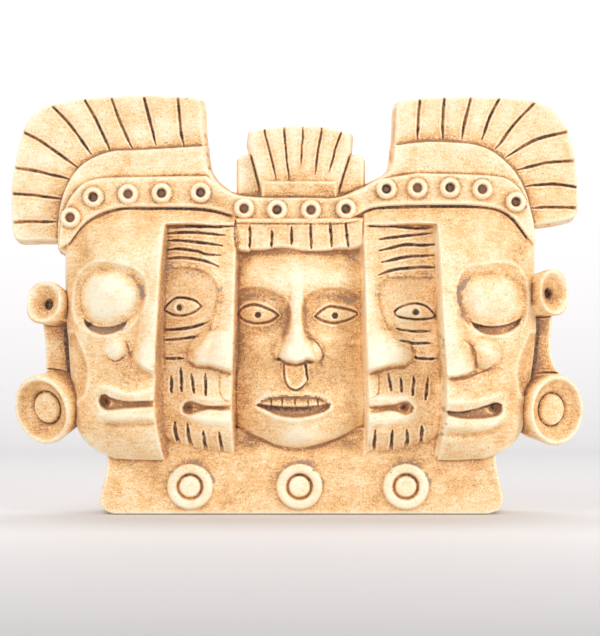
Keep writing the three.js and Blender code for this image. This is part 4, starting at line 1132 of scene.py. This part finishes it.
# The face of each kind from its rim inwards, in radius and height
CUP = [
    (10.9, -2.2), (10.6, -0.9), (9.9, -0.1), (9.1, -0.4), (7.4, -2.2), (5.4, -4.4), (3.4, -5.8),
    (2.3, -7.0), (1.9, -9), (1.2, -9.4),
]
DISH = [
    (18.6, -2.4), (18.2, -1.0), (17.3, -0.1), (16.2, -0.3), (15.2, -1.8), (12.6, -3.9),
    (10.2, -5.4), (9.2, -6.5), (8.7, -6.8), (8.1, -5.9), (7.5, -4.7), (5.5, -4.3), (2.0, -4.2),
]
spool_frames = []
for kind, (spool_x, spool_z), spool_radius, forward, lean, nod, width in SPOOLS:
    profile = curve(CUP if kind == "small" else DISH, 3)
    bpy.ops.object.select_all(action="DESELECT")
    bpy.ops.mesh.primitive_cylinder_add(vertices=72, radius=1, depth=1, end_fill_type="NGON")
    spool = bpy.context.object
    # From the back edge to the rim, then inwards over the face, one ring of edges at a time
    bpy.ops.object.mode_set(mode="EDIT")
    bpy.ops.mesh.select_mode(type="FACE")
    bpy.ops.object.mode_set(mode="OBJECT")
    for lid in spool.data.polygons:
        lid.select = lid.normal.z > 0.9
    bpy.ops.object.mode_set(mode="EDIT")
    for _ in profile:
        bpy.ops.mesh.inset(thickness=0.02, use_even_offset=False)
    bpy.ops.object.mode_set(mode="OBJECT")
    corners = np.empty(len(spool.data.vertices) * 3)
    spool.data.vertices.foreach_get("co", corners)
    corners = corners.reshape(-1, 3)
    made_radius = np.round(np.hypot(corners[:, 0], corners[:, 1]), 4)
    turn = np.arctan2(corners[:, 1], corners[:, 0])
    made_rings = {(round(r, 3), round(h, 3)) for r, h in zip(made_radius, corners[:, 2])}
    made_rings = sorted(made_rings, key=lambda ring: (ring[1], -ring[0]))
    number_of = {ring: number for number, ring in enumerate(made_rings)}
    rings = [(spool_radius - BACK_TAPER, -SPOOL_DEPTH), *profile]
    scale = spool_radius / profile[0][0]
    for i, (r, h) in enumerate(zip(made_radius, corners[:, 2])):
        ring_radius, ring_height = rings[min(number_of[round(r, 3), round(h, 3)], len(rings) - 1)]
        across, up = math.cos(turn[i]), math.sin(turn[i])
        reach = ring_radius * scale
        if kind == "small":
            power = 2 + 1.6 * SMALL_SQUARE * ease(3, 9, ring_radius)
            reach *= (abs(across) ** power + abs(up) ** power) ** (-1 / power)
        corners[i] = (reach * across, reach * up, ring_height)
    spool.data.vertices.foreach_set("co", corners.ravel())
    # Local frame of a spool: x to the right, y up, z forward; then stood up in the casting's frame
    side = -1 if spool_x < 0 else 1
    stand = Matrix(((1, 0, 0, 0), (0, 0, -1, 0), (0, 1, 0, 0), (0, 0, 0, 1)))
    turn_out = Matrix.Rotation(side * lean, 4, "Y") @ Matrix.Rotation(nod, 4, "X")
    narrow = Matrix.Diagonal((width, 1, 1, 1))
    move = Matrix.Translation((spool_x + PHOTO_AXIS, BACK - forward, spool_z))
    to_place = Matrix.Scale(0.001, 4) @ move @ stand @ turn_out @ narrow
    spool_frames.append((kind, np.array(to_place.inverted()), profile[0][0], scale))
    spool.data.transform(to_place)
    bpy.ops.object.mode_set(mode="EDIT")
    bpy.ops.mesh.select_all(action="SELECT")
    bpy.ops.mesh.remove_doubles(threshold=1e-6)
    bpy.ops.mesh.normals_make_consistent(inside=False)
    bpy.ops.object.mode_set(mode="OBJECT")
    join(mask, spool, "UNION")

# One mesh, thinned where it is flat
# Fine relief keeps its faces and the plain fields give theirs up. The count stays under the
# 200,000 triangles at which a piece's file would be thinned.
MOST_TRIANGLES, SMOOTH_UNDER = 196000, 42
bpy.ops.object.select_all(action="DESELECT")
mask.select_set(True)
bpy.context.view_layer.objects.active = mask
thin = mask.modifiers.new("thin", "DECIMATE")
mask.data.calc_loop_triangles()
thin.ratio = min(1, MOST_TRIANGLES / len(mask.data.loop_triangles))
bpy.ops.object.modifier_apply(modifier="thin")
bpy.ops.object.shade_smooth_by_angle(angle=math.radians(SMOOTH_UNDER))

# The brown wash and the painted shading
# Brushed over the ivory casting and wiped off, so it stays in lines, corners and hollows and is
# rubbed away on every high edge. Painted shade and painted light on some walls and corners are laid
# into the same strength, which is kept at each point of the surface as an attribute.
count = len(mask.data.vertices)
points = np.empty(count * 3)
mask.data.vertices.foreach_get("co", points)
points = points.reshape(-1, 3)
vx, vp, vz = points[:, 0] * 1000 - PHOTO_AXIS, BACK - points[:, 1] * 1000, points[:, 2] * 1000


def read(map_):
    """A map's value over each vertex."""
    c = np.clip((vx - LEFT) / GRAIN, 0, columns.size - 1.001)
    r = np.clip((vz - BOTTOM) / GRAIN, 0, rows.size - 1.001)
    c0, r0 = c.astype(int), r.astype(int)
    fc, fr = c - c0, r - r0
    low = map_[r0, c0] * (1 - fc) + map_[r0, c0 + 1] * fc
    high = map_[r0 + 1, c0] * (1 - fc) + map_[r0 + 1, c0 + 1] * fc
    return low * (1 - fr) + high * fr


present = (casting[HEIGHT] > 2).astype(float)


def sunk(size):
    """How far each vertex lies below the ground around it, over a given size."""
    weight = np.maximum(blur(present, size), 0.03)
    return read(blur(casting[HEIGHT] * present, size) / weight) - vp


crisp, fine, near, broad = (sunk(size) for size in (0.55, 0.9, 3.5, 14))
wash_and_shading = read(casting[WASH_AND_SHADING])
wash_and_shading = wash_and_shading + 0.3 * np.clip(fine / 0.8, 0, 1) + 0.09 * np.clip(near / 2.5, -1, 1)
wash_and_shading += 0.06 * np.clip(broad / 6, -1, 1)
rubbed = np.clip(-crisp / 0.22, 0, 1)
wash_and_shading = wash_and_shading * (1 - 0.7 * rubbed)
ink_and_shadow = read(casting[INK_AND_SHADOW]) * (1 - 0.4 * rubbed)
stain = read(casting[STAIN])
# The outer edges are plain: one thin even coat
EDGE_WASH, BACK_WASH = 0.52, 0.3
outer = ease(0.97, 0.86, read(blur(present, 1.0))) * ease(0.5, 1.8, fine)
wash_and_shading = wash_and_shading + outer * (EDGE_WASH - wash_and_shading)
ink_and_shadow, stain = ink_and_shadow * (1 - outer), stain * (1 - outer)
# The spools stand free of the map, so their wash follows their own radius. Behind them it gathers
# in the corner along the side of the head.
raised = vp - read(casting[HEIGHT])
head_side = np.interp(vz, [44, 60, 92, 120, 147], [117.5, 121, 125, 125.2, 125.3])
corner = np.exp(-((np.clip(np.abs(vx) - head_side - 1.2, 0, None) / 2.4) ** 2))
for kind, inverse, rim, scale in spool_frames:
    local = (inverse[:3, :3] @ points.T + inverse[:3, 3:]).T
    radius, level = np.hypot(local[:, 0], local[:, 1]) / scale, local[:, 2]
    on_spool = (radius < rim * 1.25) & (level > -21) & (level < 1) & (raised > 0.5)
    flank_radius = np.interp(level, [-SPOOL_DEPTH, -2.4], [rim - BACK_TAPER / scale, rim])
    seated = np.abs(radius - flank_radius) < (1.0 if kind == "small" else 0.3)
    on_spool |= seated & (level > -SPOOL_DEPTH) & (level < -3) & (raised > -0.4)
    if kind == "small":
        shade = np.interp(
            radius,
            [0, 2, 3, 6, 8.4, 9.2, 10.2, 10.8, 11.6],
            [1, 1, 0.85, 0.62, 0.5, 0.12, 0.14, 0.4, 0.5],
        )
        dark = np.interp(radius, [0, 1.2, 2.3, 3.3, 4.2], [0.5, 0.85, 0.8, 0.3, 0])
    else:
        shade = np.interp(
            radius,
            [0, 7, 8, 8.7, 9.6, 11, 14.4, 15.3, 16.4, 18, 18.8],
            [0.46, 0.44, 0.55, 0.95, 0.76, 0.62, 0.66, 0.54, 0.12, 0.2, 0.45],
        )
        dark = 0.85 * np.exp(-(((radius - 8.7) / 0.7) ** 2))
    face_on = (level >= -2.6) | (radius < 0.8 * rim)
    flank = 0.54 + 0.03 * np.clip(-level - 5, 0, 10) + 0.3 * corner
    wash_and_shading = np.where(on_spool, np.where(face_on, shade, flank), wash_and_shading)
    ink_and_shadow = np.where(on_spool, np.where(face_on, dark, 0.5 * corner), ink_and_shadow)
# One coat of wash on each sawn wall, darker towards its foot, with painted shade on the walls facing
# right and on the right crest's end, and painted light on the walls facing left: each one's edge, its
# strength, and how wide the wall shows
WALLS_WASH_AND_SHADING = (
    (OUTER_EDGES[-1], 0.88, np.interp(vz, [70, 100], [3.7, 1.9])),
    (OUTER_EDGES[1], 0.3, 2.1),
    (MIDDLE_EDGES[-1], 0.8, 2.1),
    (MIDDLE_EDGES[1], 0.32, 2.1),
    (RIGHT_CREST_END, 0.6, 2.1),
)
for path, strength, wide in WALLS_WASH_AND_SHADING:
    wall_z, wall_x = np.array(sorted((up, across) for across, up in path)).T
    side = math.copysign(1, wall_x[0])
    off = side * (vx - np.interp(vz, wall_z, wall_x))
    on_wall = ease(-wide, 0.7 - wide, off) * (1 - ease(-0.3, 0.2, off))
    on_wall = on_wall * (vz > wall_z[0] + 3) * (vz < wall_z[-1] - 0.5)
    wash_and_shading = wash_and_shading + on_wall * (strength - 0.2 * (off / wide + 0.5) - wash_and_shading)
    stain = stain + on_wall * (0.12 if side < 0 else 0.05)
back = vp < 0.05
wash_and_shading = np.where(back, BACK_WASH, wash_and_shading)
ink_and_shadow = np.where(back, 0, ink_and_shadow)
patina_and_shading = mask.data.attributes.new("patina_and_shading", "FLOAT_COLOR", "POINT")
coats = np.clip(np.stack([wash_and_shading, ink_and_shadow, stain, np.ones(count)], axis=-1), 0, (1.2, 1.2, 1, 1))
patina_and_shading.data.foreach_set("color", coats.astype(np.float32).ravel())

# The finish
# Ivory casting under the brown wash, with a thin coat of wax over both that leaves it satin. The
# attribute says where the wash, the dark lines, the residue and the painted shading lie, and noises of
# several sizes break it up.
finish = bpy.data.materials.new("washed_ivory_casting")
finish.use_nodes = True
nodes, links = finish.node_tree.nodes, finish.node_tree.links
shader = nodes["Principled BSDF"]


def sum_of(first, second, operation="ADD", clamp=False):
    """A Math node of two values, each a number or a socket."""
    made = nodes.new("ShaderNodeMath")
    made.operation = operation
    made.use_clamp = clamp
    for socket, value in zip(made.inputs, (first, second)):
        if isinstance(value, (int, float)):
            socket.default_value = value
        else:
            links.new(value, socket)
    return made.outputs[0]


def swing(noise, amount):
    """A noise made to swing about 0, by an amount that is a number or a socket."""
    return sum_of(sum_of(noise, 0.5, "SUBTRACT"), amount, "MULTIPLY")


def spread(value, low, high, to_low=0.0, to_high=1.0):
    """A value between two limits, eased over to two others."""
    made = nodes.new("ShaderNodeMapRange")
    made.interpolation_type = "SMOOTHSTEP"
    links.new(value, made.inputs[0])
    for socket, number in zip(made.inputs[1:5], (low, high, to_low, to_high)):
        socket.default_value = number
    return made.outputs[0]


def mottle(scale, detail=2.0, rough=0.55, squash=None):
    """A noise fixed to the casting, between 0 and 1."""
    place = nodes.new("ShaderNodeTexCoord").outputs["Object"]
    if squash:
        turn = nodes.new("ShaderNodeMapping")
        turn.inputs["Scale"].default_value = squash
        links.new(place, turn.inputs[0])
        place = turn.outputs[0]
    made = nodes.new("ShaderNodeTexNoise")
    made.inputs["Scale"].default_value = scale
    made.inputs["Detail"].default_value = detail
    made.inputs["Roughness"].default_value = rough
    links.new(place, made.inputs["Vector"])
    return made.outputs["Fac"]


def blend(amount, first, second):
    """Mixes two colours, each a socket or a linear colour."""
    made = nodes.new("ShaderNodeMix")
    made.data_type = "RGBA"
    links.new(amount, made.inputs["Factor"])
    for socket, value in zip((made.inputs[6], made.inputs[7]), (first, second)):
        if isinstance(value, tuple):
            socket.default_value = (*value, 1)
        else:
            links.new(value, socket)
    return made.outputs[2]


def fill_ramp(ramp, stops):
    """Sets the stops of a colour ramp, each a position and a linear colour."""
    while len(ramp.color_ramp.elements) < len(stops):
        ramp.color_ramp.elements.new(0.5)
    for stop, (position, colour) in zip(ramp.color_ramp.elements, stops):
        stop.position = position
        stop.color = (*colour, 1)


read_patina_and_shading = nodes.new("ShaderNodeAttribute")
read_patina_and_shading.attribute_name = "patina_and_shading"
split = nodes.new("ShaderNodeSeparateColor")
links.new(read_patina_and_shading.outputs["Color"], split.inputs[0])
wash_and_shading_here, ink_and_shadow_here, stain_here = split.outputs

clouds = swing(mottle(75, 4, 0.6), 0.85)
brushed = swing(mottle(230, 4, 0.65, (1, 1, 2.6)), 0.75)
grainy = swing(mottle(1700, 2, 0.6), sum_of(sum_of(wash_and_shading_here, 0.4, "MULTIPLY"), 1.1))
# Flecks of wash caught in drag marks, thick in some places and none in others
flecks = spread(mottle(640, 2, 0.5, (1, 1, 1.9)), 0.55, 0.72)
patchy = spread(mottle(48, 3, 0.6), 0.4, 0.62, 0.03, 0.34)
flecked = sum_of(flecks, sum_of(patchy, sum_of(wash_and_shading_here, 0.3), "MULTIPLY"), "MULTIPLY")
wiped = sum_of(spread(mottle(820, 3, 0.6), 0.54, 0.72, 0.0, -0.55), wash_and_shading_here, "MULTIPLY")
varied = sum_of(sum_of(clouds, brushed), sum_of(grainy, sum_of(wiped, flecked)))
strength = sum_of(wash_and_shading_here, varied, clamp=True)
ramp = nodes.new("ShaderNodeValToRGB")
links.new(strength, ramp.inputs[0])
# From clean ivory to the thickest wash
IVORY_TO_BROWN = [
    (0.0, (0.965, 0.885, 0.69)),
    (0.25, (0.945, 0.765, 0.495)),
    (0.5, (0.905, 0.58, 0.275)),
    (0.75, (0.75, 0.4, 0.155)),
    (1.0, (0.36, 0.18, 0.09)),
]
fill_ramp(ramp, IVORY_TO_BROWN)
# Colours for the dark lines, which also paint the shadows laid into their channel, for the grey-violet
# residue and for the specks
DARK_LINE_AND_SHADOW, RESIDUE, SPECK = (0.085, 0.053, 0.042), (0.34, 0.235, 0.2), (0.36, 0.2, 0.11)
ragged = swing(mottle(560, 4, 0.7), 2.1)
colour = blend(spread(sum_of(ink_and_shadow_here, ragged), 0.3, 0.95), ramp.outputs[0], DARK_LINE_AND_SHADOW)
# Grey-violet residue of the wash, and small specks where it caught in the grain
crumbs = swing(mottle(480, 4, 0.7), 2.8)
residue = sum_of(sum_of(stain_here, sum_of(wash_and_shading_here, 0.25, "MULTIPLY")), crumbs)
colour = blend(spread(residue, 0.5, 0.75, 0.0, 0.8), colour, RESIDUE)
specks = sum_of(mottle(900, 2, 0.5), sum_of(wash_and_shading_here, 0.1, "MULTIPLY"))
colour = blend(spread(specks, 0.7, 0.78, 0.0, 0.75), colour, SPECK)
links.new(colour, shader.inputs["Base Color"])
links.new(spread(strength, 0.0, 0.8, 0.42, 0.7), shader.inputs["Roughness"])
shader.inputs["IOR"].default_value = 1.45
# Fine pores and brush drag, shallower than the mesh can hold
pores = sum_of(mottle(1400, 3, 0.6), 0.6, "MULTIPLY")
drag = sum_of(mottle(300, 3, 0.6), 0.9, "MULTIPLY")
bump = nodes.new("ShaderNodeBump")
bump.inputs["Strength"].default_value = 0.35
bump.inputs["Distance"].default_value = 0.0003
links.new(sum_of(pores, drag), bump.inputs["Height"])
links.new(bump.outputs[0], shader.inputs["Normal"])
mask.data.materials.clear()
mask.data.materials.append(finish)

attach(mask, "root")
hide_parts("mask")

# The studio
# A sheet of pale paper that lies under the casting and sweeps up behind it, soft boxes high at the
# left, at the right and low in front, and the camera where the photograph's stood.
SWEEP_SIZE, SWEEP_RISE, SWEEP_BEND, NEAR_BACK = (6, 4, 1), 3.2, 1.4, 1.9
bpy.ops.object.select_all(action="DESELECT")
bpy.ops.mesh.primitive_plane_add(size=1)
sweep = bpy.context.object
sweep.name = "studio_sweep"
sweep.scale = SWEEP_SIZE
bpy.ops.object.transform_apply(location=False, rotation=False, scale=True)
bpy.ops.object.mode_set(mode="EDIT")
bpy.ops.mesh.select_mode(type="EDGE")
bpy.ops.mesh.select_all(action="DESELECT")
bpy.ops.object.mode_set(mode="OBJECT")
for line in sweep.data.edges:
    ends = [sweep.data.vertices[i].co for i in line.vertices]
    line.select = all(end.y > NEAR_BACK for end in ends)
bpy.ops.object.mode_set(mode="EDIT")
bpy.ops.mesh.extrude_region_move(TRANSFORM_OT_translate={"value": (0, 0, SWEEP_RISE)})
bpy.ops.object.mode_set(mode="OBJECT")
for line in sweep.data.edges:
    ends = [sweep.data.vertices[i].co for i in line.vertices]
    line.select = all(end.y > NEAR_BACK and end.z < 0.1 for end in ends)
bpy.ops.object.mode_set(mode="EDIT")
bpy.ops.mesh.bevel(offset=SWEEP_BEND, segments=24, affect="EDGES")
bpy.ops.mesh.select_all(action="SELECT")
bpy.ops.mesh.normals_make_consistent(inside=True)
bpy.ops.object.mode_set(mode="OBJECT")
bpy.ops.object.shade_smooth()
paper = bpy.data.materials.new("pale_paper")
paper.use_nodes = True
paper_shader = paper.node_tree.nodes["Principled BSDF"]
paper_nodes, paper_links = paper.node_tree.nodes, paper.node_tree.links
where = paper_nodes.new("ShaderNodeSeparateXYZ")
paper_links.new(paper_nodes.new("ShaderNodeTexCoord").outputs["Object"], where.inputs[0])
along = paper_nodes.new("ShaderNodeMapRange")
paper_links.new(where.outputs["Y"], along.inputs[0])
for socket, number in zip(along.inputs[1:5], (-0.5, 2.0, 0.0, 1.0)):
    socket.default_value = number
fall_off = paper_nodes.new("ShaderNodeValToRGB")
paper_links.new(along.outputs[0], fall_off.inputs[0])
# The paper from the front edge to the back, in how pale it is: painted shade, darkest at the front edge
# and again in a band about half a metre behind the casting, and painted light, palest up the sweep
PAPER_SHADING = [(0.0, 0.4), (0.06, 0.54), (0.16, 0.7), (0.26, 0.67), (0.4, 0.56), (1.0, 0.85)]
fill_ramp(fall_off, [(place, (grey, grey * 0.982, grey * 0.988)) for place, grey in PAPER_SHADING])
paper_links.new(fall_off.outputs[0], paper_shader.inputs["Base Color"])
paper_shader.inputs["Roughness"].default_value = 0.75
sweep.data.materials.append(paper)


def soft_light(name, place, target, size, power):
    """A soft box at a place, turned towards a target."""
    bpy.ops.object.light_add(type="AREA", location=place)
    lamp = bpy.context.object
    lamp.name = name
    lamp.data.shape = "RECTANGLE"
    lamp.data.size, lamp.data.size_y = size
    lamp.data.energy = power
    lamp.rotation_mode = "QUATERNION"
    lamp.rotation_quaternion = (Vector(target) - Vector(place)).to_track_quat("-Z", "Y")


FACES_MIDDLE = (0, 0, 0.1)
soft_light("key_left", (-0.9, -0.85, 1.3), FACES_MIDDLE, (0.9, 0.9), 9)
soft_light("side_right", (1.2, -0.65, 0.55), FACES_MIDDLE, (0.5, 0.5), 8.5)
soft_light("fill_low", (-0.2, -1.5, 0.3), FACES_MIDDLE, (1.0, 0.5), 5)
soft_light("paper_light", (0, 0.7, 2.0), (0, 1.7, 0.7), (2.4, 1.0), 30)
world = bpy.data.worlds.new("studio_air")
world.use_nodes = True
world.node_tree.nodes["Background"].inputs[0].default_value = (1, 0.995, 0.99, 1)
world.node_tree.nodes["Background"].inputs[1].default_value = 0.55
bpy.context.scene.world = world
bpy.context.scene.view_settings.view_transform = "Standard"

# The photograph is 636 pixels high, and each spans 0.534 mm in the plane of the feather crests
EYE_HEIGHT, CREST_PLANE, DISTANCE, PIXEL = 0.10431, 0.00636, 1.1, 0.000534
PHOTO_PIXELS, SENSOR = 636, 36
bpy.ops.object.camera_add(
    location=(PHOTO_AXIS / 1000, CREST_PLANE - DISTANCE, EYE_HEIGHT), rotation=(math.pi / 2, 0, 0)
)
camera = bpy.context.object
camera.name = "photo_camera"
camera.data.sensor_width = SENSOR
camera.data.lens = SENSOR * DISTANCE / (PHOTO_PIXELS * PIXEL)
bpy.context.scene.camera = camera
